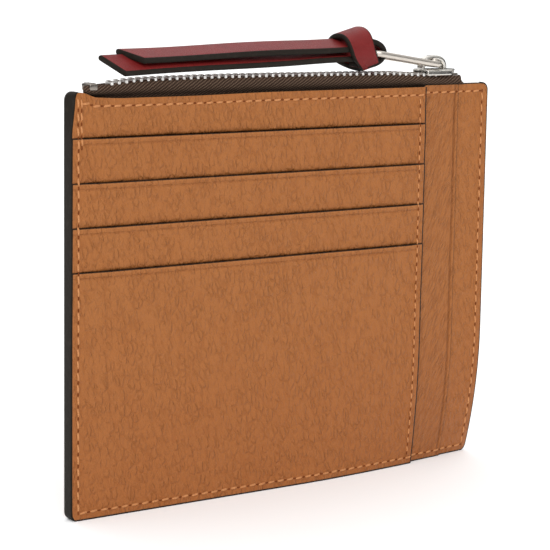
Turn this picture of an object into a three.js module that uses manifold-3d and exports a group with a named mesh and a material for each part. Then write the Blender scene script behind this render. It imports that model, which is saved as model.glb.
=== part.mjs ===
// A flat leather zip pouch with card slots, standing on its bottom edge.
// Millimetres. +X runs along the zipper, +Y goes to the back, +Z is up. The card slots face -Y.
// The leather and fabric layers are thin plates on one shared grid, so that neighbouring layers
// stay parallel where the lower right corner curls back.

import * as THREE from 'three';
import { mergeVertices } from 'three/addons/utils/BufferGeometryUtils.js';
import Module from 'manifold-3d';

const wasm = await Module();
wasm.setup();

// ---------------------------------------------------------------- driving dimensions

const bodyWidth = 120;
const bodyHeight = 95;
const cornerRadius = 1.7;
const seamInset = 1.8;

// Layer thicknesses and the air between two layers.
const layerGap = 0.03;
const compartmentGap = 0.1;
const tapeThickness = 0.28;
const liningThickness = 0.15;
const basePanelThickness = 0.5;
const backPanelThickness = 0.7;
const sidePocketThickness = 0.45;
const slotBackingThickness = 0.25;
const pocketBagThickness = 0.08;
const leafThickness = 0.5;

// Card slots: four leaves, each overlapping the one above it.
const slotBlockFromRight = 21;
const slotSeamInset = 1.9;
const sidePocketFromRight = 9.8;
const topStripHeight = 8.95;
const topStripThickness = 0.88;
const topStripGap = 0.12;
const slotPitch = 9.9;
const leafCount = 4;
const leafOverlap = 4;
const slotDepth = 46;
const bagInset = 3.2;

// The lower right corner curls back.
const curlDepth = 5;
const curlHeight = 34;
const curlFromRight = 55;

// Lining of the zipped compartment.
const liningInset = 1.2;

// Seam threads.
const threadWidth = 0.42;
const threadThickness = 0.2;
const threadGap = 0.05;
const stepRun = 0.5;
const seamEndInset = 1.2;
const topSeamEndInset = 4;

// Zipper.
const toothPitch = 1.876;
const toothLength = 0.8;
const toothHeight = 1.6;
const toothOuter = 2;
const toothReach = 0.5;
const toothLegLength = 0.95;
const toothInnerLegLength = 0.4;
const beadWidth = 0.35;
const beadHeight = 0.6;
const tapeClearance = 0.06;
const chainRise = 2.8;
const chainBow = 0.5;
const chainBowSpan = 45;
const firstToothFromLeft = 10.3;
const tapeStartFromLeft = 3.1;
const tapeEndFromRight = 7.2;
const tapeEndSlant = 3;
const tapeTuck = 6;
const tapeBulge = 0.75;
const tapeTurn = 0.4;
const liningToTape = 0.3;
const stopLength = 2.4;
const bottomStopFromLeft = 4.3;
const topStopLength = 1.7;
const topStopInset = 0.4;
const stopGrip = 1.7;
const stopTopDrop = 0.1;
const stopInnerHeight = 0.3;

// Slider.
const sliderLength = 8.3;
const sliderWidth = 7;
const sliderNose = 2.4;
const sliderRightFromEdge = 12.5;
const sliderPlate = 0.5;
const sliderClearance = 0.1;
const flangeDrop = 1.35;
const flangeThickness = 0.6;
const lowerWingWidth = 2;
const postWidth = 0.7;
const crownLength = 8.2;
const crownStrip = 0.9;
const crownWidth = 2.2;
const crownSetBack = 0.5;
const shoulderRound = 1.1;
const crownClearance = 0.45;
const crownHeadroom = 0.75;
const crownFoot = 0.2;
const flangeInset = 0.3;
const mouthInset = 0.3;
const postClearance = 0.3;

// Pull link: a flat ring, wider where the strap passes through it.
const linkLength = 23;
const linkThickness = 1.3;
const linkBar = 1.4;
const linkNarrow = 6.4;
const linkWide = 10.6;
const linkCornerRadius = 2.2;
const linkFromCrown = -0.5;
const eyeClearance = 0.2;

// Pull strap: a folded, knotted strap with two tails.
const strapWidth = 7.2;
const strapThickness = 1.4;
const upperTailLength = 61.5;
const lowerTailLength = 67;
const upperTailRoll = 16;
const lowerTailRoll = 31;
const tailSeparation = 2.3;
const tailEndCut = 3.6;
const knotHalfLength = 4.6;
const knotHalfWidth = 6.1;
const knotHalfHeight = 5.2;
const knotGap = 0.6;
const loopHalfLength = 5.5;
const loopHalfHeight = 3.5;
const loopReach = 3.9;
const knotLift = 0.75;
const knotRest = 0.2;
const upperTailRise = 8.8;
const lowerTailRise = 6.7;
const tailForward = 0.4;

// ---------------------------------------------------------------- places worked out from them

const left = -bodyWidth / 2;
const right = bodyWidth / 2;
const top = bodyHeight;
const slotBlockRight = right - slotBlockFromRight;
const sidePocketRight = right - sidePocketFromRight;

// Depth of each layer's front face, counted from the plane in the middle of the chain.
const frontTapeY = -compartmentGap / 2 - tapeThickness;
const basePanelY = frontTapeY - layerGap - basePanelThickness;
const sidePocketY = basePanelY - layerGap - sidePocketThickness;
const slotBackingY = sidePocketY - layerGap - slotBackingThickness;
const topStripY = slotBackingY - topStripThickness;
const bagY = [1, 2, 3].map((n) => slotBackingY - n * (layerGap + pocketBagThickness));
const leafY = bagY[2] - layerGap - leafThickness;
const backTapeY = compartmentGap / 2;
const backPanelY = backTapeY + tapeThickness + layerGap;
const backFaceY = backPanelY + backPanelThickness;

// Each leaf leans out at its top far enough to clear the leaf that it overlaps.
const leafTop = Array.from({ length: leafCount }, (_, n) => top - topStripHeight - n * slotPitch);
const leafTilt = slotPitch + leafOverlap;
const leafLean = (leafThickness + 2 * layerGap) / (1 - leafOverlap / leafTilt);

const slotSeamX = slotBlockRight - slotSeamInset;
const chainZ = top + chainRise;
const sliderRight = right - sliderRightFromEdge;
const sliderLeft = sliderRight - sliderLength;
const plateBottom = chainZ + toothHeight / 2 + sliderClearance;
const plateTop = plateBottom + sliderPlate;
const crownHeight = crownClearance + linkThickness + crownHeadroom + crownStrip;
const crownX = sliderRight - crownLength / 2 - crownSetBack;
const linkPivotX = crownX - linkFromCrown;
const linkPivotZ = plateTop + crownClearance + linkThickness / 2;

// The knot rests on the highest teeth, and that sets how far the link rises towards it.
const strapBarZ = chainZ + chainBow / 2 + toothHeight / 2 + knotRest + knotHalfHeight - knotLift;
const linkSpan = linkLength - linkBar;
const linkRise = Math.asin((strapBarZ - linkPivotZ) / linkSpan);
const strapBarX = linkPivotX - linkSpan * Math.cos(linkRise);

// Shared grid lines. Every plate takes the lines inside its own edges.
const gridX = [left, left + seamInset, -30, 0, 6, 12, 20, 30, slotSeamX, slotBlockRight,
  (slotBlockRight + sidePocketRight) / 2, sidePocketRight, (sidePocketRight + right) / 2,
  right - seamInset, right];
const gridZ = [0, seamInset, 6, 10, 15, 20, 26, curlHeight, 60, top - seamInset, top];

// Grid lines closer than this to a plate's edge are left out, and points this near an edge are on it.
const narrowestCell = 0.2;
const onEdge = 1e-6;

// ---------------------------------------------------------------- finishes

const finishes = {
  tan: { color: 0xa86b40, roughness: 0.62, metalness: 0 },
  burgundy: { color: 0x8c3e3c, roughness: 0.5, metalness: 0 },
  lining: { color: 0x8a7257, roughness: 0.9, metalness: 0 },
  tape: { color: 0x3e322a, roughness: 0.9, metalness: 0 },
  thread: { color: 0xc07a48, roughness: 0.7, metalness: 0 },
  nickel: { color: 0xc9c7c2, roughness: 0.22, metalness: 1 },
  satin: { color: 0xc6c1b8, roughness: 0.38, metalness: 1 },
};

function makeMesh(name, geometry, finish) {
  const mesh = new THREE.Mesh(geometry, new THREE.MeshStandardMaterial(finishes[finish]));
  mesh.name = name;
  return mesh;
}

// ---------------------------------------------------------------- geometry helpers

// How far the pouch curls back at a place on its face.
function curl(x, z) {
  const across = Math.max(0, 1 - (right - x) / curlFromRight);
  const down = Math.max(0, 1 - z / curlHeight);
  return curlDepth * across ** 1.5 * down ** 2;
}

// The chain sits highest in the middle of the pouch and sinks towards both ends.
function bow(x) {
  return chainBow * (0.5 - (x / chainBowSpan) ** 2);
}

function clampedLines(lines, low, high) {
  const inside = lines.filter((value) => value > low + narrowestCell && value < high - narrowestCell);
  return [low, ...inside, high];
}

// Pulls a plate's outer corner in onto its rounding.
function roundedCorner(x, z) {
  const inward = cornerRadius * (1 - Math.SQRT1_2);
  const atSide = Math.abs(Math.abs(x) - right) < onEdge;
  const atEnd = z < onEdge || z > top - onEdge;
  if (!(atSide && atEnd)) return [x, z];
  return [x - Math.sign(x) * inward, z < top / 2 ? z + inward : z - inward];
}

// The volume inside a closed surface, negative when its faces point inwards.
function signedVolume(positions, index) {
  const corner = (n) => new THREE.Vector3().fromArray(positions, 3 * index[n]);
  let volume = 0;
  for (let n = 0; n < index.length; n += 3) {
    volume += corner(n).dot(corner(n + 1).cross(corner(n + 2))) / 6;
  }
  return volume;
}

// A closed shell between two matching grids of points, facing out.
function shell(columns, rows, frontPoint, rearPoint) {
  const positions = [];
  const index = [];
  const count = columns * rows;
  for (const point of [frontPoint, rearPoint]) {
    for (let i = 0; i < columns; i += 1) {
      for (let j = 0; j < rows; j += 1) positions.push(...point(i, j));
    }
  }
  const at = (i, j, side) => side * count + i * rows + j;
  const quad = (a, b, c, d) => index.push(a, b, c, a, c, d);
  for (let i = 0; i + 1 < columns; i += 1) {
    for (let j = 0; j + 1 < rows; j += 1) {
      quad(at(i, j, 0), at(i + 1, j, 0), at(i + 1, j + 1, 0), at(i, j + 1, 0));
      index.push(at(i, j, 1), at(i + 1, j + 1, 1), at(i + 1, j, 1));
      index.push(at(i, j, 1), at(i, j + 1, 1), at(i + 1, j + 1, 1));
    }
    quad(at(i, 0, 0), at(i, 0, 1), at(i + 1, 0, 1), at(i + 1, 0, 0));
    quad(at(i, rows - 1, 0), at(i + 1, rows - 1, 0), at(i + 1, rows - 1, 1), at(i, rows - 1, 1));
  }
  for (let j = 0; j + 1 < rows; j += 1) {
    quad(at(0, j, 0), at(0, j + 1, 0), at(0, j + 1, 1), at(0, j, 1));
    quad(at(columns - 1, j, 0), at(columns - 1, j, 1), at(columns - 1, j + 1, 1), at(columns - 1, j + 1, 0));
  }
  if (signedVolume(positions, index) < 0) index.reverse();
  const geometry = new THREE.BufferGeometry();
  geometry.setAttribute('position', new THREE.Float32BufferAttribute(positions, 3));
  geometry.setIndex(index);
  geometry.computeVertexNormals();
  return geometry;
}

// A plate of leather or fabric, with its front face at frontY(x, z).
function plate(xLines, zLines, frontY, thickness) {
  const place = (depth) => (i, j) => {
    const [x, z] = roundedCorner(xLines[i], zLines[j]);
    return [x, frontY(x, z) + depth + curl(x, z), z];
  };
  return shell(xLines.length, zLines.length, place(0), place(thickness));
}

function panel(name, xLow, xHigh, zLow, zHigh, frontY, thickness, finish) {
  const xLines = clampedLines(gridX, xLow, xHigh);
  const zLines = clampedLines(gridZ, zLow, zHigh);
  return makeMesh(name, plate(xLines, zLines, () => frontY, thickness), finish);
}

// A thread laid on a face along a path of [x, z] stations; outward is -1 at the front, +1 at the back.
function threadRibbon(stations, faceY, outward) {
  const side = (n) => {
    const before = stations[Math.max(0, n - 1)];
    const after = stations[Math.min(stations.length - 1, n + 1)];
    const along = new THREE.Vector2(after[0] - before[0], after[1] - before[1]).normalize();
    return new THREE.Vector2(-along.y, along.x).multiplyScalar(threadWidth / 2);
  };
  const place = (depth) => (i, j) => {
    const [x, z] = stations[i];
    const offset = side(i).multiplyScalar(j === 0 ? -1 : 1);
    return [x + offset.x, faceY(x, z) + outward * depth + curl(x, z), z + offset.y];
  };
  return shell(stations.length, 2, place(threadGap), place(threadGap + threadThickness));
}

function toManifold(geometry) {
  const bare = geometry.clone();
  bare.deleteAttribute('normal');
  bare.deleteAttribute('uv');
  const merged = mergeVertices(bare, 1e-4);
  return new wasm.Manifold(new wasm.Mesh({
    numProp: 3,
    vertProperties: new Float32Array(merged.attributes.position.array),
    triVerts: new Uint32Array(merged.index.array),
  }));
}

function fromManifold(solid) {
  const mesh = solid.getMesh();
  const geometry = new THREE.BufferGeometry();
  geometry.setAttribute('position', new THREE.BufferAttribute(mesh.vertProperties, 3));
  geometry.setIndex(new THREE.BufferAttribute(mesh.triVerts, 1));
  geometry.computeVertexNormals();
  return geometry;
}

function joined(geometries) {
  const [first, ...others] = geometries.map(toManifold);
  return fromManifold(others.reduce((sum, solid) => sum.add(solid), first));
}

function block(xLow, xHigh, yLow, yHigh, zLow, zHigh) {
  const geometry = new THREE.BoxGeometry(xHigh - xLow, yHigh - yLow, zHigh - zLow);
  return geometry.translate((xLow + xHigh) / 2, (yLow + yHigh) / 2, (zLow + zHigh) / 2);
}

function mirroredY(geometry) {
  const copy = geometry.clone();
  copy.scale(1, -1, 1);
  const flipped = copy.index.array.slice();
  for (let n = 0; n < flipped.length; n += 3) {
    [flipped[n + 1], flipped[n + 2]] = [flipped[n + 2], flipped[n + 1]];
  }
  copy.setIndex(new THREE.BufferAttribute(flipped, 1));
  return copy;
}

// Sets the height of everything that belongs to the chain to the chain's bow.
function bowed(geometry) {
  const position = geometry.attributes.position;
  for (let n = 0; n < position.count; n += 1) {
    position.setZ(n, position.getZ(n) + bow(position.getX(n)));
  }
  return geometry;
}

// ---------------------------------------------------------------- leather and fabric layers

function leafFrontY(n) {
  return (x, z) => leafY - leafLean * Math.max(0, (z - leafTop[n] + leafTilt) / leafTilt);
}

function makeLeaf(n) {
  const last = n === leafCount - 1;
  const low = last ? 0 : leafTop[n] - leafTilt;
  const zLines = last ? clampedLines([...gridZ, leafTop[n] - leafTilt], low, leafTop[n]) : [low, leafTop[n]];
  const xLines = clampedLines(gridX, left, slotBlockRight);
  return makeMesh(`card_leaf_${n + 1}`, plate(xLines, zLines, leafFrontY(n), leafThickness), 'tan');
}

// The slots' backing, which is thicker above them: its top strip stands as far out as the leaves.
function makeSlotBacking() {
  const stripFoot = leafTop[0] + topStripGap;
  const xLines = clampedLines(gridX, left, slotBlockRight);
  const zLines = clampedLines(gridZ.filter((z) => z < leafTop[0] || z > stripFoot), 0, top);
  const foot = zLines.findLastIndex((z) => z < leafTop[0]) + 1;
  zLines.splice(foot, 0, leafTop[0], stripFoot);
  const place = (faceY) => (i, j) => {
    const [x, z] = roundedCorner(xLines[i], zLines[j]);
    return [x, faceY(j) + curl(x, z), z];
  };
  const geometry = shell(xLines.length, zLines.length, place((j) => (j > foot ? topStripY : slotBackingY)),
    place(() => slotBackingY + slotBackingThickness));
  return makeMesh('slot_backing_panel', geometry, 'tan');
}

function makePocketBag(n) {
  const high = leafTop[n] - leafTilt - layerGap;
  const low = leafTop[n + 1] - slotDepth;
  return panel(`slot_pocket_bag_${n + 1}`, left + bagInset, slotBlockRight - bagInset, low, high,
    bagY[n], pocketBagThickness, 'lining');
}

function makeLeather() {
  const meshes = [
    panel('back_panel', left, right, 0, top, backPanelY, backPanelThickness, 'tan'),
    panel('front_base_panel', left, right, 0, top, basePanelY, basePanelThickness, 'tan'),
    panel('side_pocket_panel', left, sidePocketRight, 0, top, sidePocketY, sidePocketThickness, 'tan'),
    makeSlotBacking(),
  ];
  for (let n = 0; n < leafCount; n += 1) meshes.push(makeLeaf(n));
  for (let n = 0; n < leafCount - 1; n += 1) meshes.push(makePocketBag(n));
  return meshes;
}

function makeLinings() {
  const high = top - tapeTuck - liningToTape;
  const frontY = frontTapeY + tapeThickness - liningThickness;
  return [
    panel('front_lining', left + liningInset, right - liningInset, liningInset, high, frontY,
      liningThickness, 'lining'),
    panel('back_lining', left + liningInset, right - liningInset, liningInset, high, backTapeY,
      liningThickness, 'lining'),
  ];
}

// ---------------------------------------------------------------- seam threads

// The outermost front face: leaves, then the side pocket, then the base panel.
function frontFaceY(x, z) {
  if (x > sidePocketRight + threadWidth) return basePanelY;
  if (x > slotBlockRight + threadWidth) return sidePocketY;
  const n = leafTop.findLastIndex((height) => z <= height + threadWidth / 2);
  return n < 0 ? topStripY : leafFrontY(n)(x, Math.min(z, leafTop[n]));
}

// Stations along a vertical seam, from the top down, with a pair at every step of the slots.
function columnStations(x, high, low, crossesSlots) {
  const steps = crossesSlots ? leafTop.flatMap((z) => [z + stepRun, z + threadWidth / 2]) : [];
  const lean = crossesSlots ? [leafTop[leafCount - 1] - leafTilt] : [];
  const grid = gridZ.filter((z) => z > low && z < Math.min(high, curlHeight + 1));
  const heights = [high, ...steps, ...lean, ...grid, low].sort((a, b) => b - a);
  return heights.map((z) => [x, z]);
}

// Stations along a horizontal seam, from left to right, with a pair at every step of the layers.
function rowStations(z, low, high, crossesSteps) {
  const edges = [slotBlockRight, sidePocketRight];
  const steps = crossesSteps ? edges.flatMap((x) => [x + threadWidth, x + threadWidth + stepRun]) : [];
  const grid = gridX.filter((x) => x > low && x < high && !(crossesSteps && edges.includes(x)));
  return [low, ...grid, ...steps, high].sort((a, b) => a - b).map((x) => [x, z]);
}

function makeThreads() {
  const leftX = left + seamInset;
  const rightX = right - seamInset;
  const high = top - seamEndInset;
  const topZ = top - seamInset;
  const fromLeft = left + topSeamEndInset;
  const toRight = right - topSeamEndInset;
  const frontPath = [
    ...columnStations(leftX, high, seamInset, true),
    ...rowStations(seamInset, leftX, rightX, true).slice(1),
    ...columnStations(rightX, high, seamInset, false).reverse().slice(1),
  ];
  const backPath = [
    ...columnStations(leftX, high, seamInset, false),
    ...rowStations(seamInset, leftX, rightX, false).slice(1),
    ...columnStations(rightX, high, seamInset, false).reverse().slice(1),
  ];
  const frontTopPath = rowStations(topZ, fromLeft, toRight, true);
  const backTopPath = rowStations(topZ, fromLeft, toRight, false);
  const backFace = () => backFaceY;
  const slotPath = columnStations(slotSeamX, topZ - seamEndInset, seamInset + seamEndInset, true);
  return [
    makeMesh('perimeter_thread_front', threadRibbon(frontPath, frontFaceY, -1), 'thread'),
    makeMesh('perimeter_thread_back', threadRibbon(backPath, backFace, 1), 'thread'),
    makeMesh('top_thread_front', threadRibbon(frontTopPath, frontFaceY, -1), 'thread'),
    makeMesh('top_thread_back', threadRibbon(backTopPath, backFace, 1), 'thread'),
    makeMesh('slot_thread', threadRibbon(slotPath, frontFaceY, -1), 'thread'),
  ];
}

// ---------------------------------------------------------------- zipper

// The front tape's section, from the bead down into the mouth of the pouch, as [y, z].
function tapeSection() {
  const middle = frontTapeY + tapeThickness / 2;
  const edge = -toothOuter + toothLegLength - tapeClearance;
  return [
    [edge, chainZ],
    [edge - tapeTurn, chainZ],
    [edge - tapeBulge, chainZ - tapeTurn],
    [edge - tapeBulge, chainZ - 2 * tapeTurn],
    [edge - tapeBulge / 4, top + chainRise / 3],
    [middle, top + layerGap],
    [middle, top - tapeTuck],
  ];
}

function makeFrontTape() {
  const section = tapeSection();
  const columns = 13;
  const tapeLeft = left + tapeStartFromLeft;
  const tapeRight = right - tapeEndFromRight;
  const normal = (j) => {
    const before = section[Math.max(0, j - 1)];
    const after = section[Math.min(section.length - 1, j + 1)];
    return new THREE.Vector2(after[1] - before[1], before[0] - after[0]).normalize();
  };
  const place = (sign) => (i, j) => {
    const [y, z] = section[j];
    const slant = tapeEndSlant * THREE.MathUtils.clamp((z - top) / chainRise, 0, 1);
    const x = THREE.MathUtils.lerp(tapeLeft, tapeRight - slant, i / (columns - 1));
    const out = normal(j).multiplyScalar(sign * tapeThickness / 2);
    const lift = bow(x) * THREE.MathUtils.clamp((z - top) / chainRise, 0, 1);
    return [x, y + out.x, z + out.y + lift];
  };
  return shell(columns, section.length, place(-1), place(1));
}

// One tooth of the front row: a head that interlocks, and two legs that grip the tape.
function toothGeometry(x) {
  const low = chainZ - toothHeight / 2;
  const high = chainZ + toothHeight / 2;
  const slot = tapeThickness / 2 + tapeClearance;
  const throat = -toothOuter + toothLegLength;
  const innerLeg = throat - toothInnerLegLength;
  const outline = new THREE.Shape([
    [toothReach, low], [toothReach, high], [-toothOuter, high], [-toothOuter, chainZ + slot],
    [throat, chainZ + slot], [throat, chainZ - slot], [innerLeg, chainZ - slot], [innerLeg, low],
  ].map(([y, z]) => new THREE.Vector2(y, z)));
  const geometry = new THREE.ExtrudeGeometry(outline, { depth: toothLength, bevelEnabled: false });
  // The outline's axes become Y and Z, and its depth becomes X.
  geometry.applyMatrix4(new THREE.Matrix4().set(0, 0, 1, 0, 1, 0, 0, 0, 0, 1, 0, 0, 0, 0, 0, 1));
  return geometry.translate(x - toothLength / 2, 0, 0);
}

function makeTeethRow(firstX) {
  const last = sliderRight - topStopLength - sliderNose;
  const count = Math.floor((last - firstX) / toothPitch) + 1;
  const beadOuter = -toothOuter + toothLegLength;
  const pieces = [];
  for (let n = 0; n < count; n += 1) {
    const x = firstX + n * toothPitch;
    pieces.push(toothGeometry(x));
    if (n + 1 < count) {
      pieces.push(block(x, x + toothPitch, beadOuter, beadOuter + beadWidth,
        chainZ - beadHeight / 2, chainZ + beadHeight / 2));
    }
  }
  return bowed(joined(pieces));
}

// A clamp on the tapes' edges: over both tapes at the bottom of the chain, over one at its top.
function makeStop(x, length, yLow, yHigh) {
  const slot = tapeThickness / 2 + tapeClearance;
  const high = chainZ + toothHeight / 2 - stopTopDrop;
  const edge = -toothOuter + toothLegLength;
  return bowed(joined([
    block(x - length / 2, x + length / 2, yLow, yHigh, chainZ + slot, high),
    block(x - length / 2, x + length / 2, edge, Math.min(yHigh, -edge),
      chainZ - slot - stopInnerHeight, chainZ + slot),
  ]));
}

function makeZipper() {
  const tape = makeFrontTape();
  const firstX = left + firstToothFromLeft;
  const stopX = left + bottomStopFromLeft + stopLength / 2;
  const topStopX = sliderRight + sliderNose - topStopLength / 2 - topStopInset;
  const topStop = makeStop(topStopX, topStopLength, -stopGrip, -postWidth / 2 - postClearance);
  return [
    makeMesh('zipper_tape_front', tape, 'tape'),
    makeMesh('zipper_tape_back', mirroredY(tape), 'tape'),
    makeMesh('zipper_teeth_front', makeTeethRow(firstX), 'nickel'),
    makeMesh('zipper_teeth_back', mirroredY(makeTeethRow(firstX + toothPitch / 2)), 'nickel'),
    makeMesh('bottom_stop', makeStop(stopX, stopLength, -stopGrip, stopGrip), 'nickel'),
    makeMesh('top_stop_front', topStop, 'nickel'),
    makeMesh('top_stop_back', mirroredY(topStop), 'nickel'),
  ];
}

// ---------------------------------------------------------------- slider, link and strap

// A flat outline in X and Y, raised from zLow to zHigh.
function raised(shape, zLow, zHigh) {
  return new THREE.ExtrudeGeometry(shape, { depth: zHigh - zLow, bevelEnabled: false, curveSegments: 8 })
    .translate(0, 0, zLow);
}

// An outline in X and Z, as deep as width and centred on the chain.
function across(shape, width, curveSegments) {
  return new THREE.ExtrudeGeometry(shape, { depth: width, bevelEnabled: false, curveSegments })
    .translate(0, 0, -width / 2).rotateX(Math.PI / 2);
}

// The upper wing: straight sides, round shoulders, and a nose over the dividing post.
function wingOutline() {
  const half = sliderWidth / 2;
  const mouthHalf = half - mouthInset;
  const noseX = sliderRight + sliderNose;
  const noseHalf = half / 3;
  const shoulder = half - shoulderRound;
  const wing = new THREE.Shape();
  wing.moveTo(sliderLeft, -mouthHalf);
  wing.lineTo(sliderRight - shoulderRound, -half);
  wing.quadraticCurveTo(sliderRight, -half, sliderRight + mouthInset, -shoulder);
  wing.quadraticCurveTo(noseX, -noseHalf, noseX, 0);
  wing.quadraticCurveTo(noseX, noseHalf, sliderRight + mouthInset, shoulder);
  wing.quadraticCurveTo(sliderRight, half, sliderRight - shoulderRound, half);
  wing.lineTo(sliderLeft, mouthHalf);
  return wing;
}

// The crown: an arched strip that stands on the upper wing and lets the link's end pass under it.
function crownOutline() {
  const base = plateTop - crownFoot;
  const rise = crownHeight + crownFoot;
  const crown = new THREE.Shape();
  crown.absellipse(crownX, base, crownLength / 2, rise, 0, Math.PI, false);
  crown.lineTo(crownX - crownLength / 2 + crownStrip, base);
  crown.absellipse(crownX, base, crownLength / 2 - crownStrip, rise - crownStrip, Math.PI, 0, true);
  return crown;
}

function makeSlider() {
  const flangeOuter = sliderWidth / 2 - flangeInset;
  const flangeInner = flangeOuter - flangeThickness;
  const flangeLow = plateTop - flangeDrop;
  const flangeLeft = sliderLeft + flangeInset;
  const flangeRight = sliderRight - flangeThickness;
  const lowerTop = chainZ + bow(sliderRight) - toothHeight / 2 - sliderClearance;
  const lowerHalf = lowerWingWidth / 2;
  const lowerRight = sliderRight + sliderNose - flangeThickness;
  const postRight = lowerRight - flangeInset;
  return makeMesh('slider_body', joined([
    raised(wingOutline(), plateBottom, plateTop),
    block(flangeLeft, flangeRight, -flangeOuter, -flangeInner, flangeLow, plateBottom + sliderPlate / 2),
    block(flangeLeft, flangeRight, flangeInner, flangeOuter, flangeLow, plateBottom + sliderPlate / 2),
    block(flangeLeft, lowerRight, -lowerHalf, lowerHalf, lowerTop - sliderPlate, lowerTop),
    block(sliderRight, postRight, -postWidth / 2, postWidth / 2, lowerTop - sliderPlate / 2,
      plateBottom + sliderPlate / 2),
    across(crownOutline(), crownWidth, 10),
  ]), 'nickel');
}

// The link's outline, from the bar under the crown (at the origin) out along -X.
function linkOutline(inset, path) {
  const nearX = linkBar / 2 - inset;
  const farX = linkBar / 2 - linkLength + inset;
  const nearHalf = linkNarrow / 2 - inset;
  const farHalf = linkWide / 2 - inset;
  const radius = linkCornerRadius - inset;
  path.moveTo(nearX - radius, -nearHalf);
  path.quadraticCurveTo(nearX, -nearHalf, nearX, -nearHalf + radius);
  path.lineTo(nearX, nearHalf - radius);
  path.quadraticCurveTo(nearX, nearHalf, nearX - radius, nearHalf);
  path.lineTo(farX + radius, farHalf);
  path.quadraticCurveTo(farX, farHalf, farX, farHalf - radius);
  path.lineTo(farX, -farHalf + radius);
  path.quadraticCurveTo(farX, -farHalf, farX + radius, -farHalf);
  path.closePath();
  return path;
}

function makeLink() {
  const outline = linkOutline(0, new THREE.Shape());
  outline.holes.push(linkOutline(linkBar, new THREE.Path()));
  const mesh = makeMesh('pull_link', new THREE.ExtrudeGeometry(outline, {
    depth: linkThickness, bevelEnabled: false, curveSegments: 5,
  }).translate(0, 0, -linkThickness / 2), 'satin');
  mesh.position.set(linkPivotX, 0, linkPivotZ);
  mesh.rotation.y = linkRise;
  return mesh;
}

// A tail of the strap, rolled towards the front, from the knot to its slanted end.
function tailGeometry(knotX, length, startZ, endZ, startRoll, endRoll) {
  const columns = 9;
  const place = (side) => (i, j) => {
    const share = i / (columns - 1);
    const roll = THREE.MathUtils.degToRad(THREE.MathUtils.lerp(startRoll, endRoll, share));
    const sideways = (j === 0 ? -1 : 1) * strapWidth / 2;
    const up = side * strapThickness / 2;
    const cut = -tailEndCut * share * sideways / strapWidth;
    const y = sideways * Math.cos(roll) - up * Math.sin(roll);
    const z = sideways * Math.sin(roll) + up * Math.cos(roll);
    return [knotX - length * share + cut, y - tailForward, THREE.MathUtils.lerp(startZ, endZ, share) + z];
  };
  return shell(columns, 2, place(1), place(-1));
}

function makeStrap() {
  const knotRight = strapBarX - linkBar / 2 - knotGap;
  const knotX = knotRight - knotHalfLength;
  const knotZ = strapBarZ + knotLift;
  const knot = new THREE.SphereGeometry(1, 20, 12)
    .scale(knotHalfLength, knotHalfWidth, knotHalfHeight).translate(knotX, 0, knotZ);
  const loopX = strapBarX + loopReach - loopHalfLength;
  const loop = new THREE.Shape();
  loop.absellipse(loopX, strapBarZ, loopHalfLength, loopHalfHeight, 0, 2 * Math.PI, false);
  const eye = new THREE.Path();
  eye.absellipse(loopX, strapBarZ, loopHalfLength - strapThickness, loopHalfHeight - strapThickness, 0,
    2 * Math.PI, false);
  loop.holes.push(eye);
  // The bight is as wide as the link's eye lets it be where it passes through.
  const share = (linkSpan - loopReach / Math.cos(linkRise)) / linkSpan;
  const eyeWidth = THREE.MathUtils.lerp(linkNarrow, linkWide, share) - 2 * linkBar;
  const loopWidth = Math.min(strapWidth, eyeWidth - 2 * eyeClearance);
  // Only the open part of the bight is kept: its other half runs inside the knot.
  const open = block(knotRight - knotHalfLength / 2, strapBarX + 2 * loopReach, -loopWidth, loopWidth,
    knotZ - knotHalfHeight, knotZ + knotHalfHeight);
  const bight = toManifold(across(loop, loopWidth, 10)).intersect(toManifold(open));
  const tails = [
    tailGeometry(knotX, upperTailLength, knotZ + tailSeparation / 2, top + upperTailRise,
      upperTailRoll, upperTailRoll),
    tailGeometry(knotX, lowerTailLength, knotZ - tailSeparation / 2, top + lowerTailRise,
      upperTailRoll, lowerTailRoll),
  ];
  const whole = tails.reduce((sum, tail) => sum.add(toManifold(tail)), bight.add(toManifold(knot)));
  return makeMesh('pull_strap', fromManifold(whole), 'burgundy');
}

// ---------------------------------------------------------------- the assembled pouch

const pouch = new THREE.Group();
pouch.name = 'zippered_pouch';
pouch.add(...makeLeather(), ...makeLinings(), ...makeZipper(), ...makeThreads());
pouch.add(makeSlider(), makeLink(), makeStrap());

// The origin is at the middle of the pouch's footprint.
pouch.updateMatrixWorld(true);
const bounds = new THREE.Box3().setFromObject(pouch, true);
pouch.position.y = -(bounds.min.y + bounds.max.y) / 2;

export default pouch;
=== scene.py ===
"""Zippered card pouch: pebbled tan leather, slot pockets, a metal zipper and a knotted pull strap."""
import logging
import math
from collections.abc import Callable, Iterable
from dataclasses import dataclass, field
from enum import Enum

import bmesh
import bpy
from mathutils import Matrix, Vector, noise


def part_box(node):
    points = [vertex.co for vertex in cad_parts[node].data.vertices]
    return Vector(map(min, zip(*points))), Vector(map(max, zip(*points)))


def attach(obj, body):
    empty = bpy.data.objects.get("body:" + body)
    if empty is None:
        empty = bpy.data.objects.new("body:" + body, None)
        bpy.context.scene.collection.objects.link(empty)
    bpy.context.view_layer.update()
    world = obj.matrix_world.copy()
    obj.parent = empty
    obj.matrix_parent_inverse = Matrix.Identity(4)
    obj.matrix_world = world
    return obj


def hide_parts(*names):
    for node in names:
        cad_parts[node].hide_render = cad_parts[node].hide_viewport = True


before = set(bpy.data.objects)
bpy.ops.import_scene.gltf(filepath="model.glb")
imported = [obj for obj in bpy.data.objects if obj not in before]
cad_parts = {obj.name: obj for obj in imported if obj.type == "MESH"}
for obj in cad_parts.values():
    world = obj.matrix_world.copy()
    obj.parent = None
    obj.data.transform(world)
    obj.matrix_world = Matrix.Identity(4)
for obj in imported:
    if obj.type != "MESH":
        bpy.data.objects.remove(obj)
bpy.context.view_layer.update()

LOG = logging.getLogger("pouch")
MM = 0.001

Place = Callable[[float, float], tuple[float, float, float]]


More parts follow.
